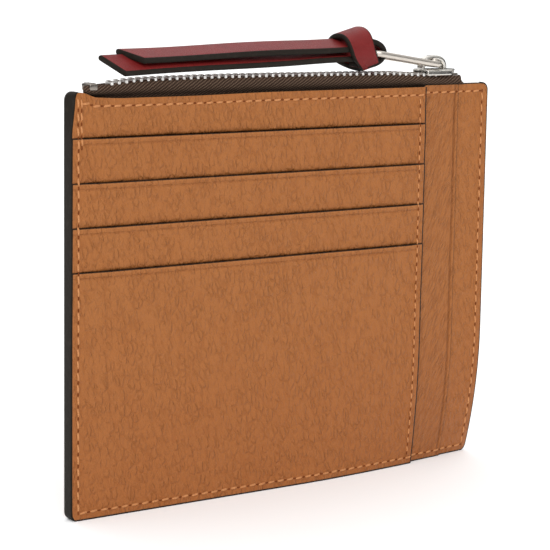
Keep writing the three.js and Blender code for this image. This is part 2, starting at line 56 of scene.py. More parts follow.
def smooth(value: float, low: float, high: float) -> float:
    """Eased share of the way from low to high, from 0 to 1; low may be above high.

    Args:
        value: The number to place.
        low: Where the share is 0.
        high: Where the share is 1.

    Returns:
        The eased share.
    """
    share = min(1.0, max(0.0, (value - low) / (high - low)))
    return share * share * (3 - 2 * share)


def mix(a: float, b: float, share: float) -> float:
    """The number a share of the way from a to b."""
    return a + (b - a) * share


def lumps(x: float, y: float, z: float = 0.0) -> float:
    """Smooth noise from about -1 to 1 at a point."""
    return noise.noise(Vector((x, y, z)))


class Side(Enum):
    """Which face of the pouch a piece belongs to, as the sign of its outward Y."""

    FRONT = -1
    BACK = 1


class Slot(Enum):
    """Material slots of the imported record."""

    TAN = "tan_leather"
    BURGUNDY = "burgundy_leather"
    LINING = "lining_fabric"
    TAPE = "zipper_tape"
    THREAD = "seam_thread"
    POLISHED = "polished_metal"
    SATIN = "satin_metal"


@dataclass(frozen=True)
class PouchForm:
    """Shared sizes of the pouch, in millimetres: the curl of its lower right corner and its slot lines."""

    right: float = 60.0
    top: float = 95.0
    curl_depth: float = 5.0
    curl_height: float = 34.0
    curl_reach: float = 55.0
    chain_bow: float = 0.5
    chain_span: float = 45.0
    block_right: float = 39.0
    pocket_right: float = 50.2
    first_slot: float = 86.05
    slot_pitch: float = 9.9
    slot_count: int = 4
    leaf_front: float = -2.48
    leaf_lean: float = 0.786
    leaf_tilt: float = 13.9
    backing_front: float = -1.62
    strip_front: float = -2.5
    pocket_front: float = -1.34
    base_front: float = -0.86
    back_face: float = 1.06

    def curl(self, x: float, z: float) -> float:
        """How far back the leather curls at a point.

        Args:
            x: Place along the pouch.
            z: Height above the ground.

        Returns:
            The shift along +Y.
        """
        across = max(0.0, 1 - (self.right - x) / self.curl_reach)
        down = max(0.0, 1 - z / self.curl_height)
        return self.curl_depth * across**1.5 * down**2

    def bow(self, x: float) -> float:
        """Rise of the chain above its ends at x."""
        return self.chain_bow * (0.5 - (x / self.chain_span) ** 2)

    def slot_top(self, number: int) -> float:
        """Height of a slot's leaf edge, counted from 0 at the top."""
        return self.first_slot - number * self.slot_pitch

    def pressed(self, x: float) -> float:
        """Share of a leaf's lean that its side seams leave at x."""
        return mix(0.3, 1.0, smooth(x, -58.5, -50) * smooth(x, 38.5, 33))

    def taper(self, x: float, z: float) -> float:
        """How far the front layers are trimmed in along their upper left edge."""
        return 0.9 * smooth(z, self.top - 9, self.top) * smooth(x, 6 - self.right, -self.right)

    def lift(self, x: float, z: float) -> float:
        """How far the mouth's edge stands over its level, at the left corner and beyond the slot block.

        Args:
            x: Place along the pouch.
            z: Height above the ground.

        Returns:
            The rise, which dies out downwards.
        """
        corner = 1.1 * smooth(x, -53.5, -58.5)
        beyond = 0.5 * smooth(x, self.block_right, self.block_right + 0.6)
        sag = 0.33 * smooth(x, -56, -47) * smooth(x, -5, -32) * smooth(z, self.top - 3, self.top)
        return (corner + beyond) * smooth(z, self.top - 9, self.top) - sag

    def chain_rise(self, x: float) -> float:
        """How far the zipper's chain stands over its level at x."""
        swell = mix(0.62, 0.32, smooth(x, -38, 14)) * smooth(x, -53, -41)
        return self.bow(x) + swell * smooth(x, 38, 28)

    def leaf_y(self, number: int, x: float, z: float) -> float:
        """Front face of a leaf, which leans out towards its top edge.

        Args:
            number: The leaf, from 0 at the top.
            x: Place along the pouch.
            z: Height above the ground.

        Returns:
            The face's Y.
        """
        foot = self.slot_top(number) - self.leaf_tilt
        lean = self.leaf_lean * self.pressed(x)
        return self.leaf_front - lean * max(0.0, (z - foot) / self.leaf_tilt)

    def block_y(self, x: float, z: float) -> float:
        """Front face of the slot block, with the curl left out."""
        if z > self.first_slot:
            return self.strip_front
        number = min(self.slot_count - 1, int((self.first_slot - z) / self.slot_pitch))
        return self.leaf_y(number, x, z)

    def front_y(self, x: float, z: float) -> float:
        """Y of the outermost front leather at a point, curl included.

        Args:
            x: Place along the pouch.
            z: Height above the ground.

        Returns:
            The surface's Y.
        """
        if x > self.pocket_right:
            face = self.base_front
        elif x > self.block_right:
            face = self.pocket_front
        else:
            face = self.block_y(x, z)
        return face + self.curl(x, z)

    def back_y(self, x: float, z: float) -> float:
        """Y of the back leather at a point, curl included."""
        return self.back_face + self.curl(x, z)


FORM = PouchForm()


# ---------------------------------------------------------------- materials


class Shader:
    """Adds nodes to one material and joins them up."""

    def __init__(self, name: str) -> None:
        """Starts an empty material with a Principled surface."""
        self.material = bpy.data.materials.new(name)
        self.material.use_nodes = True
        self.tree = self.material.node_tree
        self.tree.nodes.clear()
        self.surface = self.tree.nodes.new("ShaderNodeBsdfPrincipled")
        output = self.tree.nodes.new("ShaderNodeOutputMaterial")
        self.tree.links.new(self.surface.outputs[0], output.inputs[0])

    def node(self, kind: str, sockets: dict | None = None, **settings: object) -> bpy.types.Node:
        """Adds a node.

        Args:
            kind: The node's type name without its ShaderNode prefix.
            sockets: Values or other nodes' outputs for its inputs, by name or number.
            **settings: The node's own properties.

        Returns:
            The node.
        """
        made = self.tree.nodes.new("ShaderNode" + kind)
        for key, value in settings.items():
            setattr(made, key, value)
        for key, value in (sockets or {}).items():
            if isinstance(value, bpy.types.NodeSocket):
                self.tree.links.new(value, made.inputs[key])
            else:
                made.inputs[key].default_value = value
        return made

    def math(self, operation: str, a: object, b: object = 0.0, clamp: bool = False) -> bpy.types.NodeSocket:
        """One Math node's result."""
        return self.node("Math", {0: a, 1: b}, operation=operation, use_clamp=clamp).outputs[0]

    def times(self, a: object, b: object) -> bpy.types.NodeSocket:
        """One number or output times another."""
        return self.math("MULTIPLY", a, b)

    def plus(self, a: object, b: object, clamp: bool = False) -> bpy.types.NodeSocket:
        """One number or output plus another."""
        return self.math("ADD", a, b, clamp)

    def minus(self, a: object, b: object) -> bpy.types.NodeSocket:
        """One number or output less another."""
        return self.math("SUBTRACT", a, b)

    def ease(self, value: object, low: float, high: float) -> bpy.types.NodeSocket:
        """Eases a value to 0 at low and 1 at high, where low may be above high.

        Args:
            value: The output to ease.
            low: Value that gives 0.
            high: Value that gives 1.

        Returns:
            The eased output.
        """
        if low < high:
            sockets = {"Value": value, "From Min": low, "From Max": high, "To Min": 0.0, "To Max": 1.0}
        else:
            sockets = {"Value": value, "From Min": high, "From Max": low, "To Min": 1.0, "To Max": 0.0}
        return self.node("MapRange", sockets, interpolation_type="SMOOTHSTEP").outputs[0]

    def blend(self, share: object, first: object, second: object) -> bpy.types.NodeSocket:
        """Mixes two colours.

        Args:
            share: How much of the second shows.
            first: Colour or output.
            second: Colour or output.

        Returns:
            The mixed colour.
        """
        return self.node("Mix", {0: share, 6: first, 7: second}, data_type="RGBA").outputs[2]

    def millimetres(
        self, stretch: tuple[float, float, float] = (1, 1, 1), turn: float = 0.0
    ) -> bpy.types.NodeSocket:
        """Object coordinates in millimetres, for a grain that may run one way.

        Args:
            stretch: Pattern scale along each axis.
            turn: Turn about Y in degrees, before the stretch.

        Returns:
            The coordinate output.
        """
        source = self.node("TexCoord").outputs["Object"]
        turned = self.node(
            "Mapping", {"Vector": source, "Rotation": (0, math.radians(turn), 0), "Scale": (1 / MM,) * 3}
        ).outputs[0]
        return self.node("VectorMath", {0: turned, 1: stretch}, operation="MULTIPLY").outputs[0]

    def noise(
        self, where: object, scale: float, detail: float = 2.0, rough: float = 0.5
    ) -> bpy.types.NodeSocket:
        """Noise from 0 to 1 at a coordinate."""
        sockets = {"Vector": where, "Scale": scale, "Detail": detail, "Roughness": rough}
        return self.node("TexNoise", sockets).outputs[0]

    def bump(self, height: object, distance: float) -> None:
        """Bends the surface's shading by a height times a distance in metres."""
        made = self.node("Bump", {"Height": height, "Distance": distance, "Strength": 1.0})
        self.tree.links.new(made.outputs[0], self.surface.inputs["Normal"])

    def set(self, **values: object) -> None:
        """Sets or links the surface's own sockets; underscores stand for spaces."""
        for key, value in values.items():
            socket = self.surface.inputs[key.replace("_", " ")]
            if isinstance(value, bpy.types.NodeSocket):
                self.tree.links.new(value, socket)
            else:
                socket.default_value = value


def colour(red: float, green: float, blue: float) -> tuple[float, float, float, float]:
    """Linear colour from display values of 0 to 255."""
    return tuple((v / 255) ** 2.2 for v in (red, green, blue)) + (1.0,)


@dataclass(frozen=True)
class PebbledLeather:
    """Milled calf leather: rounded pebbles, darker creases between them, heat creases at the slots, painted
    shadow and highlights at the slot edges, and edge paint with painted shadow along free edges and the foot.
    """

    name: str
    base: tuple[float, float, float, float] = colour(152, 93, 47)
    # Darker tone for grain creases, heat creases and the painted shade over the puckers.
    deep: tuple[float, float, float, float] = colour(122, 68, 30)
    # Lighter tone for random patches and for the painted highlight along each leaf's rim.
    light: tuple[float, float, float, float] = colour(160, 103, 57)
    # Darker, warmer tone for the painted shade towards the bottom.
    low: tuple[float, float, float, float] = colour(146, 82, 40)
    # Near-black brown: edge paint creeping onto the face along free edges and the foot, and painted shadow in
    # the slot gaps and beside the slot block's edge.
    edge_paint_and_shadow: tuple[float, float, float, float] = colour(34, 20, 14)
    pebble: float = 0.8
    stretch: tuple[float, float, float] = (1.0, 0.2, 0.52)
    turn: float = 12.0
    depth: float = 0.0003
    wrinkle: float = 0.3
    foot: float = 0.3
    slot_lines: bool = False
    fold_line: float | None = None
    dark_from: float | None = None

    def material(self) -> bpy.types.Material:
        """Builds the shader nodes."""
        s = Shader(self.name)
        where = s.millimetres(self.stretch, self.turn)
        drift = s.node("TexNoise", {"Vector": where, "Scale": 0.7, "Detail": 3.0}).outputs["Color"]
        centred = s.node("VectorMath", {0: drift, 1: (0.5, 0.5, 0.5)}, operation="SUBTRACT").outputs[0]
        pushed = s.node("VectorMath", {0: centred, "Scale": 0.9}, operation="SCALE").outputs[0]
        warped = s.node("VectorMath", {0: where, 1: pushed}, operation="ADD").outputs[0]
        edge = s.node(
            "TexVoronoi",
            {"Vector": warped, "Scale": self.pebble, "Randomness": 0.95},
            feature="DISTANCE_TO_EDGE",
        ).outputs["Distance"]
        small_edge = s.node(
            "TexVoronoi",
            {"Vector": warped, "Scale": self.pebble * 2.3, "Randomness": 1.0},
            feature="DISTANCE_TO_EDGE",
        ).outputs["Distance"]
        dome = s.ease(edge, 0.0, 0.3)
        small = s.ease(small_edge, 0.0, 0.3)
        fine = s.noise(where, 5.0, 3.0, 0.6)
        broken = s.ease(s.noise(where, 0.75, 2.0), 0.36, 0.6)
        height = s.times(dome, s.plus(s.times(broken, 0.55), 0.3))
        height = s.plus(height, s.times(small, 0.14))
        height = s.plus(height, s.times(fine, 0.06))
        groove = s.times(s.ease(edge, 0.2, 0.0), broken)
        creases = s.times(groove, self.wrinkle)
        short = s.times(s.ease(small_edge, 0.12, 0.0), 0.05)
        cloudy = s.ease(s.noise(where, 0.12, 3.0), 0.3, 0.7)
        shade = s.blend(s.times(cloudy, 0.2), self.base, self.light)
        shade = s.blend(creases, shade, self.deep)
        shade = s.blend(short, shade, self.deep)
        shade = s.blend(s.times(s.ease(fine, 0.45, 0.7), 0.12), shade, self.light)
        plain = s.node("TexCoord").outputs["Object"]
        parts = s.node("SeparateXYZ", {0: plain}).outputs
        x = s.times(parts[0], 1 / MM)
        z = s.times(parts[2], 1 / MM)
        # Painted shade: the leather turns darker and warmer towards the bottom.
        low = s.ease(z, 55.0, 0.0)
        shade = s.blend(s.times(low, 0.3), shade, self.low)
        if self.slot_lines:
            height, shade = self.lines(s, x, z, height, shade)
        if self.fold_line is not None:
            near = s.ease(s.math("ABSOLUTE", s.minus(x, self.fold_line)), 0.34, 0.08)
            shade = s.blend(s.times(near, 0.5), shade, self.deep)
            height = s.minus(height, s.times(near, 0.9))
        # Dark band along a free edge: edge paint creeping onto the face, widened to stand in for the painted
        # shadow in the gap beside the slot block's edge.
        if self.dark_from is not None:
            shade = s.blend(s.ease(x, self.dark_from, self.dark_from + 0.14), shade, self.edge_paint_and_shadow)
        # Dark band along the foot: the bottom edge paint seen from the front, with painted contact shadow.
        shade = s.blend(s.ease(z, self.foot + 0.12, self.foot), shade, self.edge_paint_and_shadow)
        s.set(Base_Color=shade, Roughness=s.plus(s.times(creases, 0.25), 0.52))
        s.set(Specular_IOR_Level=0.28)
        s.bump(height, self.depth)
        return s.material

    def lines(
        self,
        s: Shader,
        x: bpy.types.NodeSocket,
        z: bpy.types.NodeSocket,
        height: bpy.types.NodeSocket,
        shade: bpy.types.NodeSocket,
    ) -> tuple[bpy.types.NodeSocket, bpy.types.NodeSocket]:
        """Adds painted shadow in the gap above each slot edge, painted shade over the puckers above it, a
        painted highlight along each leaf's rim, and the heat crease below it.

        Args:
            s: The shader being built.
            x: Place along the pouch in millimetres.
            z: Height in millimetres.
            height: The grain's height so far.
            shade: The colour so far.

        Returns:
            The height and the colour with the lines in.
        """
        raw = s.math("DIVIDE", s.minus(FORM.first_slot, z), FORM.slot_pitch)
        nearest = s.math("MAXIMUM", s.math("ROUND", raw), 0.0)
        nearest = s.math("MINIMUM", nearest, FORM.slot_count - 1)
        below = s.times(s.minus(raw, nearest), FORM.slot_pitch)
        along = s.node("CombineXYZ", {0: x, 1: nearest}).outputs[0]
        uneven = s.noise(along, 0.5, 3.0)
        above = s.times(below, -1.0)
        # Painted shadow: a near-black band in the gap just above each slot edge, where the upper layer dives
        # behind the leaf.
        gap_shadow = s.times(s.ease(above, 0.34, 0.1), s.ease(above, -0.2, -0.12))
        gap_shadow = s.times(gap_shadow, s.plus(s.times(uneven, 0.7), 0.45, clamp=True))
        # Painted shade: the leather darkens in patches over the puckers just above each slot, where it tucks
        # into the slot.
        tucked = s.times(s.ease(above, 2.6, 0.2), s.ease(above, -0.02, 0.0))
        tucked = s.times(tucked, s.times(s.ease(uneven, 0.3, 0.65), 0.35))
        crease = s.ease(s.math("ABSOLUTE", s.minus(below, 1.35)), 0.3, 0.06)
        crease = s.times(crease, s.plus(s.times(uneven, 0.8), 0.1, clamp=True))
        # Painted highlight: a paler line just under each leaf's painted top edge, where its rounded rim would
        # catch the light.
        rim = s.times(s.ease(below, 0.12, 0.22), s.ease(below, 0.6, 0.3))
        inside = s.ease(x, FORM.block_right - 1.6, FORM.block_right - 2.4)
        shade = s.blend(s.times(rim, 0.5), shade, self.light)
        shade = s.blend(tucked, shade, self.deep)
        shade = s.blend(s.times(s.times(crease, 0.6), inside), shade, self.deep)
        shade = s.blend(gap_shadow, shade, self.edge_paint_and_shadow)
        height = s.minus(height, s.times(s.times(crease, 0.8), inside))
        return height, shade


@dataclass(frozen=True)
class SmoothLeather:
    """Fine-grained dyed leather, as the pull strap's two faces."""

    name: str
    base: tuple[float, float, float, float] = colour(120, 35, 34)
    deep: tuple[float, float, float, float] = colour(86, 20, 21)
    grain: float = 3.2
    depth: float = 0.00004

    def material(self) -> bpy.types.Material:
        """Builds the shader nodes."""
        s = Shader(self.name)
        where = s.millimetres()
        edge = s.node(
            "TexVoronoi", {"Vector": where, "Scale": self.grain}, feature="DISTANCE_TO_EDGE"
        ).outputs["Distance"]
        dome = s.ease(edge, 0.0, 0.3)
        fine = s.noise(where, 8.0, 3.0, 0.6)
        broad = s.ease(s.noise(where, 0.35, 2.0), 0.3, 0.7)
        shade = s.blend(s.times(broad, 0.3), self.base, self.deep)
        shade = s.blend(s.times(s.minus(1.0, dome), 0.3), shade, self.deep)
        height = s.plus(dome, s.times(fine, 0.4))
        s.set(Base_Color=shade, Roughness=s.plus(s.times(fine, 0.15), 0.42))
        s.set(Specular_IOR_Level=0.22)
        s.bump(height, self.depth)
        return s.material


@dataclass(frozen=True)
class EdgePaint:
    """Thick dark paint that seals cut leather edges, slightly uneven."""

    name: str
    base: tuple[float, float, float, float] = colour(38, 34, 30)
    worn: tuple[float, float, float, float] = colour(52, 46, 41)

    def material(self) -> bpy.types.Material:
        """Builds the shader nodes."""
        s = Shader(self.name)
        where = s.millimetres()
        broad = s.ease(s.noise(where, 0.6, 3.0), 0.5, 0.75)
        fine = s.noise(where, 3.0, 3.0, 0.6)
        shade = s.blend(s.times(broad, 0.45), self.base, self.worn)
        s.set(Base_Color=shade, Roughness=s.plus(s.times(fine, 0.2), 0.5))
        s.set(Specular_IOR_Level=0.1)
        s.bump(s.plus(fine, s.times(broad, 0.6)), 0.00006)
        return s.material


@dataclass(frozen=True)
class TwillTape:
    """Woven zipper tape with raised diagonal ribs; its UV map is in millimetres along and across."""

    name: str
    base: tuple[float, float, float, float] = colour(55, 42, 34)
    rib: tuple[float, float, float, float] = colour(120, 98, 82)
    spacing: float = 0.6
    angle: float = 30.0

    def material(self) -> bpy.types.Material:
        """Builds the shader nodes."""
        s = Shader(self.name)
        where = s.node("UVMap").outputs[0]
        parts = s.node("SeparateXYZ", {0: where}).outputs
        wobble = s.times(s.minus(s.noise(where, 0.8, 2.0), 0.5), 0.35)
        along = s.times(parts[0], math.sin(math.radians(self.angle)))
        rise = s.times(parts[1], math.cos(math.radians(self.angle)))
        phase = s.plus(s.minus(rise, along), wobble)
        wave = s.math("SINE", s.times(phase, 2 * math.pi / self.spacing))
        ribs = s.ease(wave, -0.3, 0.9)
        other = s.plus(s.times(parts[0], 0.8), s.times(parts[1], 0.6))
        yarn = s.ease(s.math("SINE", s.times(other, 2 * math.pi / 0.42)), -0.6, 0.8)
        fibre = s.noise(where, 6.0, 3.0, 0.7)
        light = s.times(ribs, s.plus(s.times(yarn, 0.55), 0.35))
        light = s.times(light, s.plus(s.times(fibre, 0.9), 0.45))
        shade = s.blend(light, self.base, self.rib)
        s.set(Base_Color=shade, Roughness=0.88, Specular_IOR_Level=0.15)
        s.bump(s.plus(light, s.times(fibre, 0.3)), 0.00014)
        return s.material


@dataclass(frozen=True)
class WovenLining:
    """Plain-weave lining cloth."""

    name: str
    base: tuple[float, float, float, float] = colour(84, 62, 46)
    dark: tuple[float, float, float, float] = colour(48, 34, 26)
    yarn: float = 0.5

    def material(self) -> bpy.types.Material:
        """Builds the shader nodes."""
        s = Shader(self.name)
        where = s.millimetres()
        parts = s.node("SeparateXYZ", {0: where}).outputs
        turns = 2 * math.pi / self.yarn
        warp = s.math("SINE", s.times(parts[0], turns))
        weft = s.math("SINE", s.times(parts[2], turns))
        weave = s.plus(s.times(s.times(warp, weft), 0.5), 0.5)
        fibre = s.noise(where, 5.0, 3.0, 0.7)
        shade = s.blend(s.times(weave, 0.6), self.base, self.dark)
        shade = s.blend(s.times(fibre, 0.3), shade, self.dark)
        s.set(Base_Color=shade, Roughness=0.9, Specular_IOR_Level=0.2, Sheen_Weight=0.2)
        s.bump(s.plus(weave, fibre), 0.00005)
        return s.material


@dataclass(frozen=True)
class SewingThread:
    """Waxed thread with a fine twist."""

    name: str
    base: tuple[float, float, float, float] = colour(204, 140, 88)
    dark: tuple[float, float, float, float] = colour(160, 96, 56)

    def material(self) -> bpy.types.Material:
        """Builds the shader nodes."""
        s = Shader(self.name)
        where = s.millimetres()
        parts = s.node("SeparateXYZ", {0: where}).outputs
        twist = s.plus(s.plus(parts[0], parts[2]), s.times(parts[1], 2.0))
        ply = s.ease(s.math("SINE", s.times(twist, 2 * math.pi / 0.3)), -0.8, 0.9)
        fibre = s.noise(where, 2.2, 3.0, 0.7)
        shade = s.blend(s.times(s.minus(1.0, ply), 0.5), self.base, self.dark)
        shade = s.blend(s.times(s.ease(fibre, 0.45, 0.7), 0.5), shade, self.dark)
        s.set(Base_Color=shade, Roughness=0.6, Specular_IOR_Level=0.35)
        s.bump(ply, 0.00004)
        return s.material


@dataclass(frozen=True)
class Metal:
    """Plated zipper metal, polished or satin, with faint smears and hairlines."""

    name: str
    base: tuple[float, float, float, float] = colour(204, 200, 193)
    rough: float = 0.16
    spread: float = 0.1
    hairline: float = 0.00001

    def material(self) -> bpy.types.Material:
        """Builds the shader nodes."""
        s = Shader(self.name)
        where = s.millimetres()
        lines = s.millimetres((0.6, 8.0, 8.0))
        smear = s.ease(s.noise(where, 0.7, 3.0), 0.3, 0.75)
        hair = s.noise(lines, 3.0, 2.0, 0.6)
        shade = s.blend(s.times(smear, 0.12), self.base, colour(188, 184, 178))
        s.set(Base_Color=shade, Metallic=1.0)
        s.set(Roughness=s.plus(s.times(smear, self.spread), self.rough))
        s.bump(hair, self.hairline)
        return s.material


@dataclass(frozen=True)
class Pit:
    """Painted shade of a needle hole: a dark patch laid on the leather."""

    name: str

    def material(self) -> bpy.types.Material:
        """Builds the shader nodes."""
        s = Shader(self.name)
        fibre = s.noise(s.millimetres(), 3.0, 2.0)
        s.set(Base_Color=s.blend(fibre, colour(92, 46, 24), colour(122, 66, 36)), Roughness=0.9)
        s.set(Specular_IOR_Level=0.1)
        return s.material


@dataclass
class Finishes:
    """Every finish of the pouch, built once."""

    made: dict[str, bpy.types.Material] = field(default_factory=dict)

    def add(self, finish: object) -> bpy.types.Material:
        """Builds a finish's material the first time it is asked for."""
        if finish.name not in self.made:
            self.made[finish.name] = finish.material()
        return self.made[finish.name]


FINISH = Finishes()
FRONT_LEATHER = PebbledLeather("tan_leather_front", slot_lines=True, dark_from=FORM.block_right - 0.42)
POCKET_LEATHER = PebbledLeather(
    "tan_leather_pocket",
    stretch=(1.6, 0.2, 0.42),
    turn=-24.0,
    wrinkle=0.42,
    fold_line=FORM.pocket_right - 1.15,
    dark_from=FORM.pocket_right - 0.24,
)
PLAIN_LEATHER = PebbledLeather("tan_leather_plain")
EDGE = EdgePaint("dark_edge_paint")
STRAP_LEATHER = SmoothLeather("burgundy_leather_strap")
LINING = WovenLining("brown_lining")
TAPE = TwillTape("brown_twill_tape")
THREAD = SewingThread("tan_thread")
HOLE_SHADE = Pit("needle_hole_shade")
POLISHED = Metal("polished_plate")
SATIN = Metal("satin_plate", colour(206, 198, 188), 0.3, 0.12)
TOOTH_METAL = Metal("tooth_metal", colour(252, 250, 247), 0.5, 0.1)
STOP_METAL = Metal("stop_metal", colour(140, 132, 124), 0.2, 0.15)
# Darker copy of the tooth metal for the teeth tops: painted shade.
TOOTH_TOP_SHADE = Metal("tooth_top_shaded_metal", colour(118, 110, 102), 0.3, 0.15)


# ---------------------------------------------------------------- mesh helpers


def mapped_grid(
    columns: int, rows: int, place: Place, size: tuple[float, float] = (1, 1)
) -> bmesh.types.BMesh:
    """A grid laid over a shape, with a UV map in millimetres.

    Args:
        columns: Faces along the first direction.
        rows: Faces along the second direction.
        place: Point in millimetres for shares of 0 to 1 along both directions.
        size: Length of both directions in millimetres, for the UV map.

    Returns:
        The mesh, in millimetres.
    """
    bm = bmesh.new()
    bmesh.ops.create_grid(bm, x_segments=columns, y_segments=rows, size=0.5)
    uv = bm.loops.layers.uv.new("UVMap")
    for face in bm.faces:
        for loop in face.loops:
            spot = loop.vert.co
            loop[uv].uv = ((spot.x + 0.5) * size[0], (spot.y + 0.5) * size[1])
    for vert in bm.verts:
        vert.co = place(vert.co.x + 0.5, vert.co.y + 0.5)
    return bm


def soften(bm: bmesh.types.BMesh, edges: Iterable, offset: float, segments: int, paint: int = -1) -> None:
    """Rounds edges.

    Args:
        bm: The mesh.
        edges: The edges to round.
        offset: Width of the rounding in millimetres.
        segments: Faces across it.
        paint: Material number of the rounding, or -1 for its neighbours'.
    """
    bmesh.ops.bevel(
        bm,
        geom=list(edges),
        offset=offset,
        offset_type="OFFSET",
        segments=segments,
        profile=0.5,
        affect="EDGES",
        clamp_overlap=True,
        material=paint,
    )


def finish_piece(
    bm: bmesh.types.BMesh,
    name: str,
    body: str,
    finishes: Iterable[object],
    slot: Slot,
    replaced: Iterable[str] = (),
    recalculate: bool = True,
    smooth_shade: bool = True,
) -> bpy.types.Object:
    """Turns a mesh in millimetres into a shown piece in metres that rides on its body.

    Args:
        bm: The mesh, which is freed.
        name: The piece's name.
        body: The CAD body it rides on.
        finishes: Its finishes, in the order of its material numbers.
        slot: The record's slot of its main finish; not used.
        replaced: The CAD nodes it stands for.
        recalculate: Whether its faces are turned outwards.
        smooth_shade: Whether its faces are shaded smooth.

    Returns:
        The piece.
    """
    bmesh.ops.scale(bm, vec=(MM, MM, MM), verts=bm.verts)
    if recalculate:
        bmesh.ops.recalc_face_normals(bm, faces=bm.faces)
    for face in bm.faces:
        face.smooth = smooth_shade
    mesh = bpy.data.meshes.new(name)
    bm.to_mesh(mesh)
    bm.free()
    piece = bpy.data.objects.new(name, mesh)
    bpy.context.scene.collection.objects.link(piece)
    for finish in finishes:
        mesh.materials.append(FINISH.add(finish))
    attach(piece, body)
    if replaced:
        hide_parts(*replaced)
    LOG.info("%s: %d faces on %s", name, len(mesh.polygons), body)
    return piece


def joined(parts: list[bmesh.types.BMesh]) -> bmesh.types.BMesh:
    """One mesh of several, which are freed."""
    whole = bmesh.new()
    for part in parts:
        held = bpy.data.meshes.new("part")
        part.to_mesh(held)
        part.free()
        whole.from_mesh(held)
        bpy.data.meshes.remove(held)
    return whole


# ---------------------------------------------------------------- leather


@dataclass
class LeatherPanel:
    """A flat leather layer with a pebbled face, a painted rim and the pouch's curl, in millimetres."""

    name: str
    node: str
    left: float
    right: float
    bottom: float
    top: float
    face: float
    thickness: float
    finish: PebbledLeather
    side: Side = Side.FRONT
    corners: tuple[float, float, float, float] = (0, 0, 0, 0)
    coarse: float = 1.1
    fine: float = 0.34
    fine_bands: tuple[tuple[float, float], ...] = ()
    rim: float = 0.2

    def face_y(self, x: float, z: float) -> float:
        """Smooth face of the layer before its surface detail and the curl."""
        return self.face

    def inner_y(self, x: float, z: float) -> float:
        """Smooth inner face of the layer before the curl."""
        return self.face_y(x, z) - self.side.value * self.thickness

    def relief(self, x: float, z: float) -> float:
        """How far the outer face stands out at a point: a soft unevenness that dies at the rim."""
        inset = min(x - self.left, self.right - x, z - self.bottom, self.top - z)
        return 0.07 * lumps(x / 9, z / 7, self.face) * smooth(inset, 0.0, 3.0)

    def rows(self) -> list[float]:
        """Heights of the grid's rows, closer together in the bands that hold detail."""
        lines = [self.bottom]
        while lines[-1] < self.top - 1e-6:
            here = lines[-1]
            close = any(low - 1e-6 <= here < high for low, high in self.fine_bands)
            step = self.fine if close else self.coarse
            stops = [low for low, _ in self.fine_bands if low > here + 1e-6] + [self.top]
            following = min(here + step, min(stops))
            lines.append(following)
        return lines

    def rounded(self, x: float, z: float) -> tuple[float, float]:
        """Pulls a point of a corner's square onto the corner's quarter disc."""
        named = (
            (self.left, self.bottom, -1, -1, self.corners[0]),
            (self.right, self.bottom, 1, -1, self.corners[1]),
            (self.left, self.top, -1, 1, self.corners[2]),
            (self.right, self.top, 1, 1, self.corners[3]),
        )
        for corner_x, corner_z, sign_x, sign_z, radius in named:
            centre_x = corner_x - sign_x * radius
            centre_z = corner_z - sign_z * radius
            out_x = (x - centre_x) * sign_x
            out_z = (z - centre_z) * sign_z
            if radius and out_x > 0 and out_z > 0:
                share = max(out_x, out_z) / math.hypot(out_x, out_z)
                return centre_x + sign_x * out_x * share, centre_z + sign_z * out_z * share
        return x, z

    def build(self) -> bpy.types.Object:
        """Builds and dresses the panel."""
        lines = self.rows()
        columns = round((self.right - self.left) / self.columns_step())
        across = self.side.value
        bm = mapped_grid(columns, len(lines) - 1, lambda u, w: (u, w, 0))
        extruded = bmesh.ops.extrude_face_region(bm, geom=list(bm.faces), use_keep_orig=True)
        inner = {g for g in extruded["geom"] if isinstance(g, bmesh.types.BMVert)}
        rim_faces = {f for f in bm.faces if 0 < sum(v in inner for v in f.verts) < len(f.verts)}
        for vert in bm.verts:
            x = mix(self.left, self.right, vert.co.x)
            z = lines[round(vert.co.y * (len(lines) - 1))]
            x, z = self.rounded(x, z)
            if vert in inner:
                y = self.inner_y(x, z)
            else:
                y = self.face_y(x, z) + across * self.relief(x, z)
            trim = FORM.taper(x, z) if self.side is Side.FRONT else 0.0
            vert.co = (x + trim, y + FORM.curl(x, z), z + FORM.lift(x, z))
        for face in rim_faces:
            face.material_index = 1
        bmesh.ops.recalc_face_normals(bm, faces=bm.faces)
        loops = [e for e in bm.edges if sum(f in rim_faces for f in e.link_faces) == 1]
        soften(bm, loops, self.rim, 3, 1)
        return finish_piece(
            bm, self.name, "pouch", (self.finish, EDGE), Slot.TAN, (self.node,), recalculate=False
        )

    def columns_step(self) -> float:
        """Width of the grid's columns."""
        return 0.5 if self.fine_bands else self.coarse


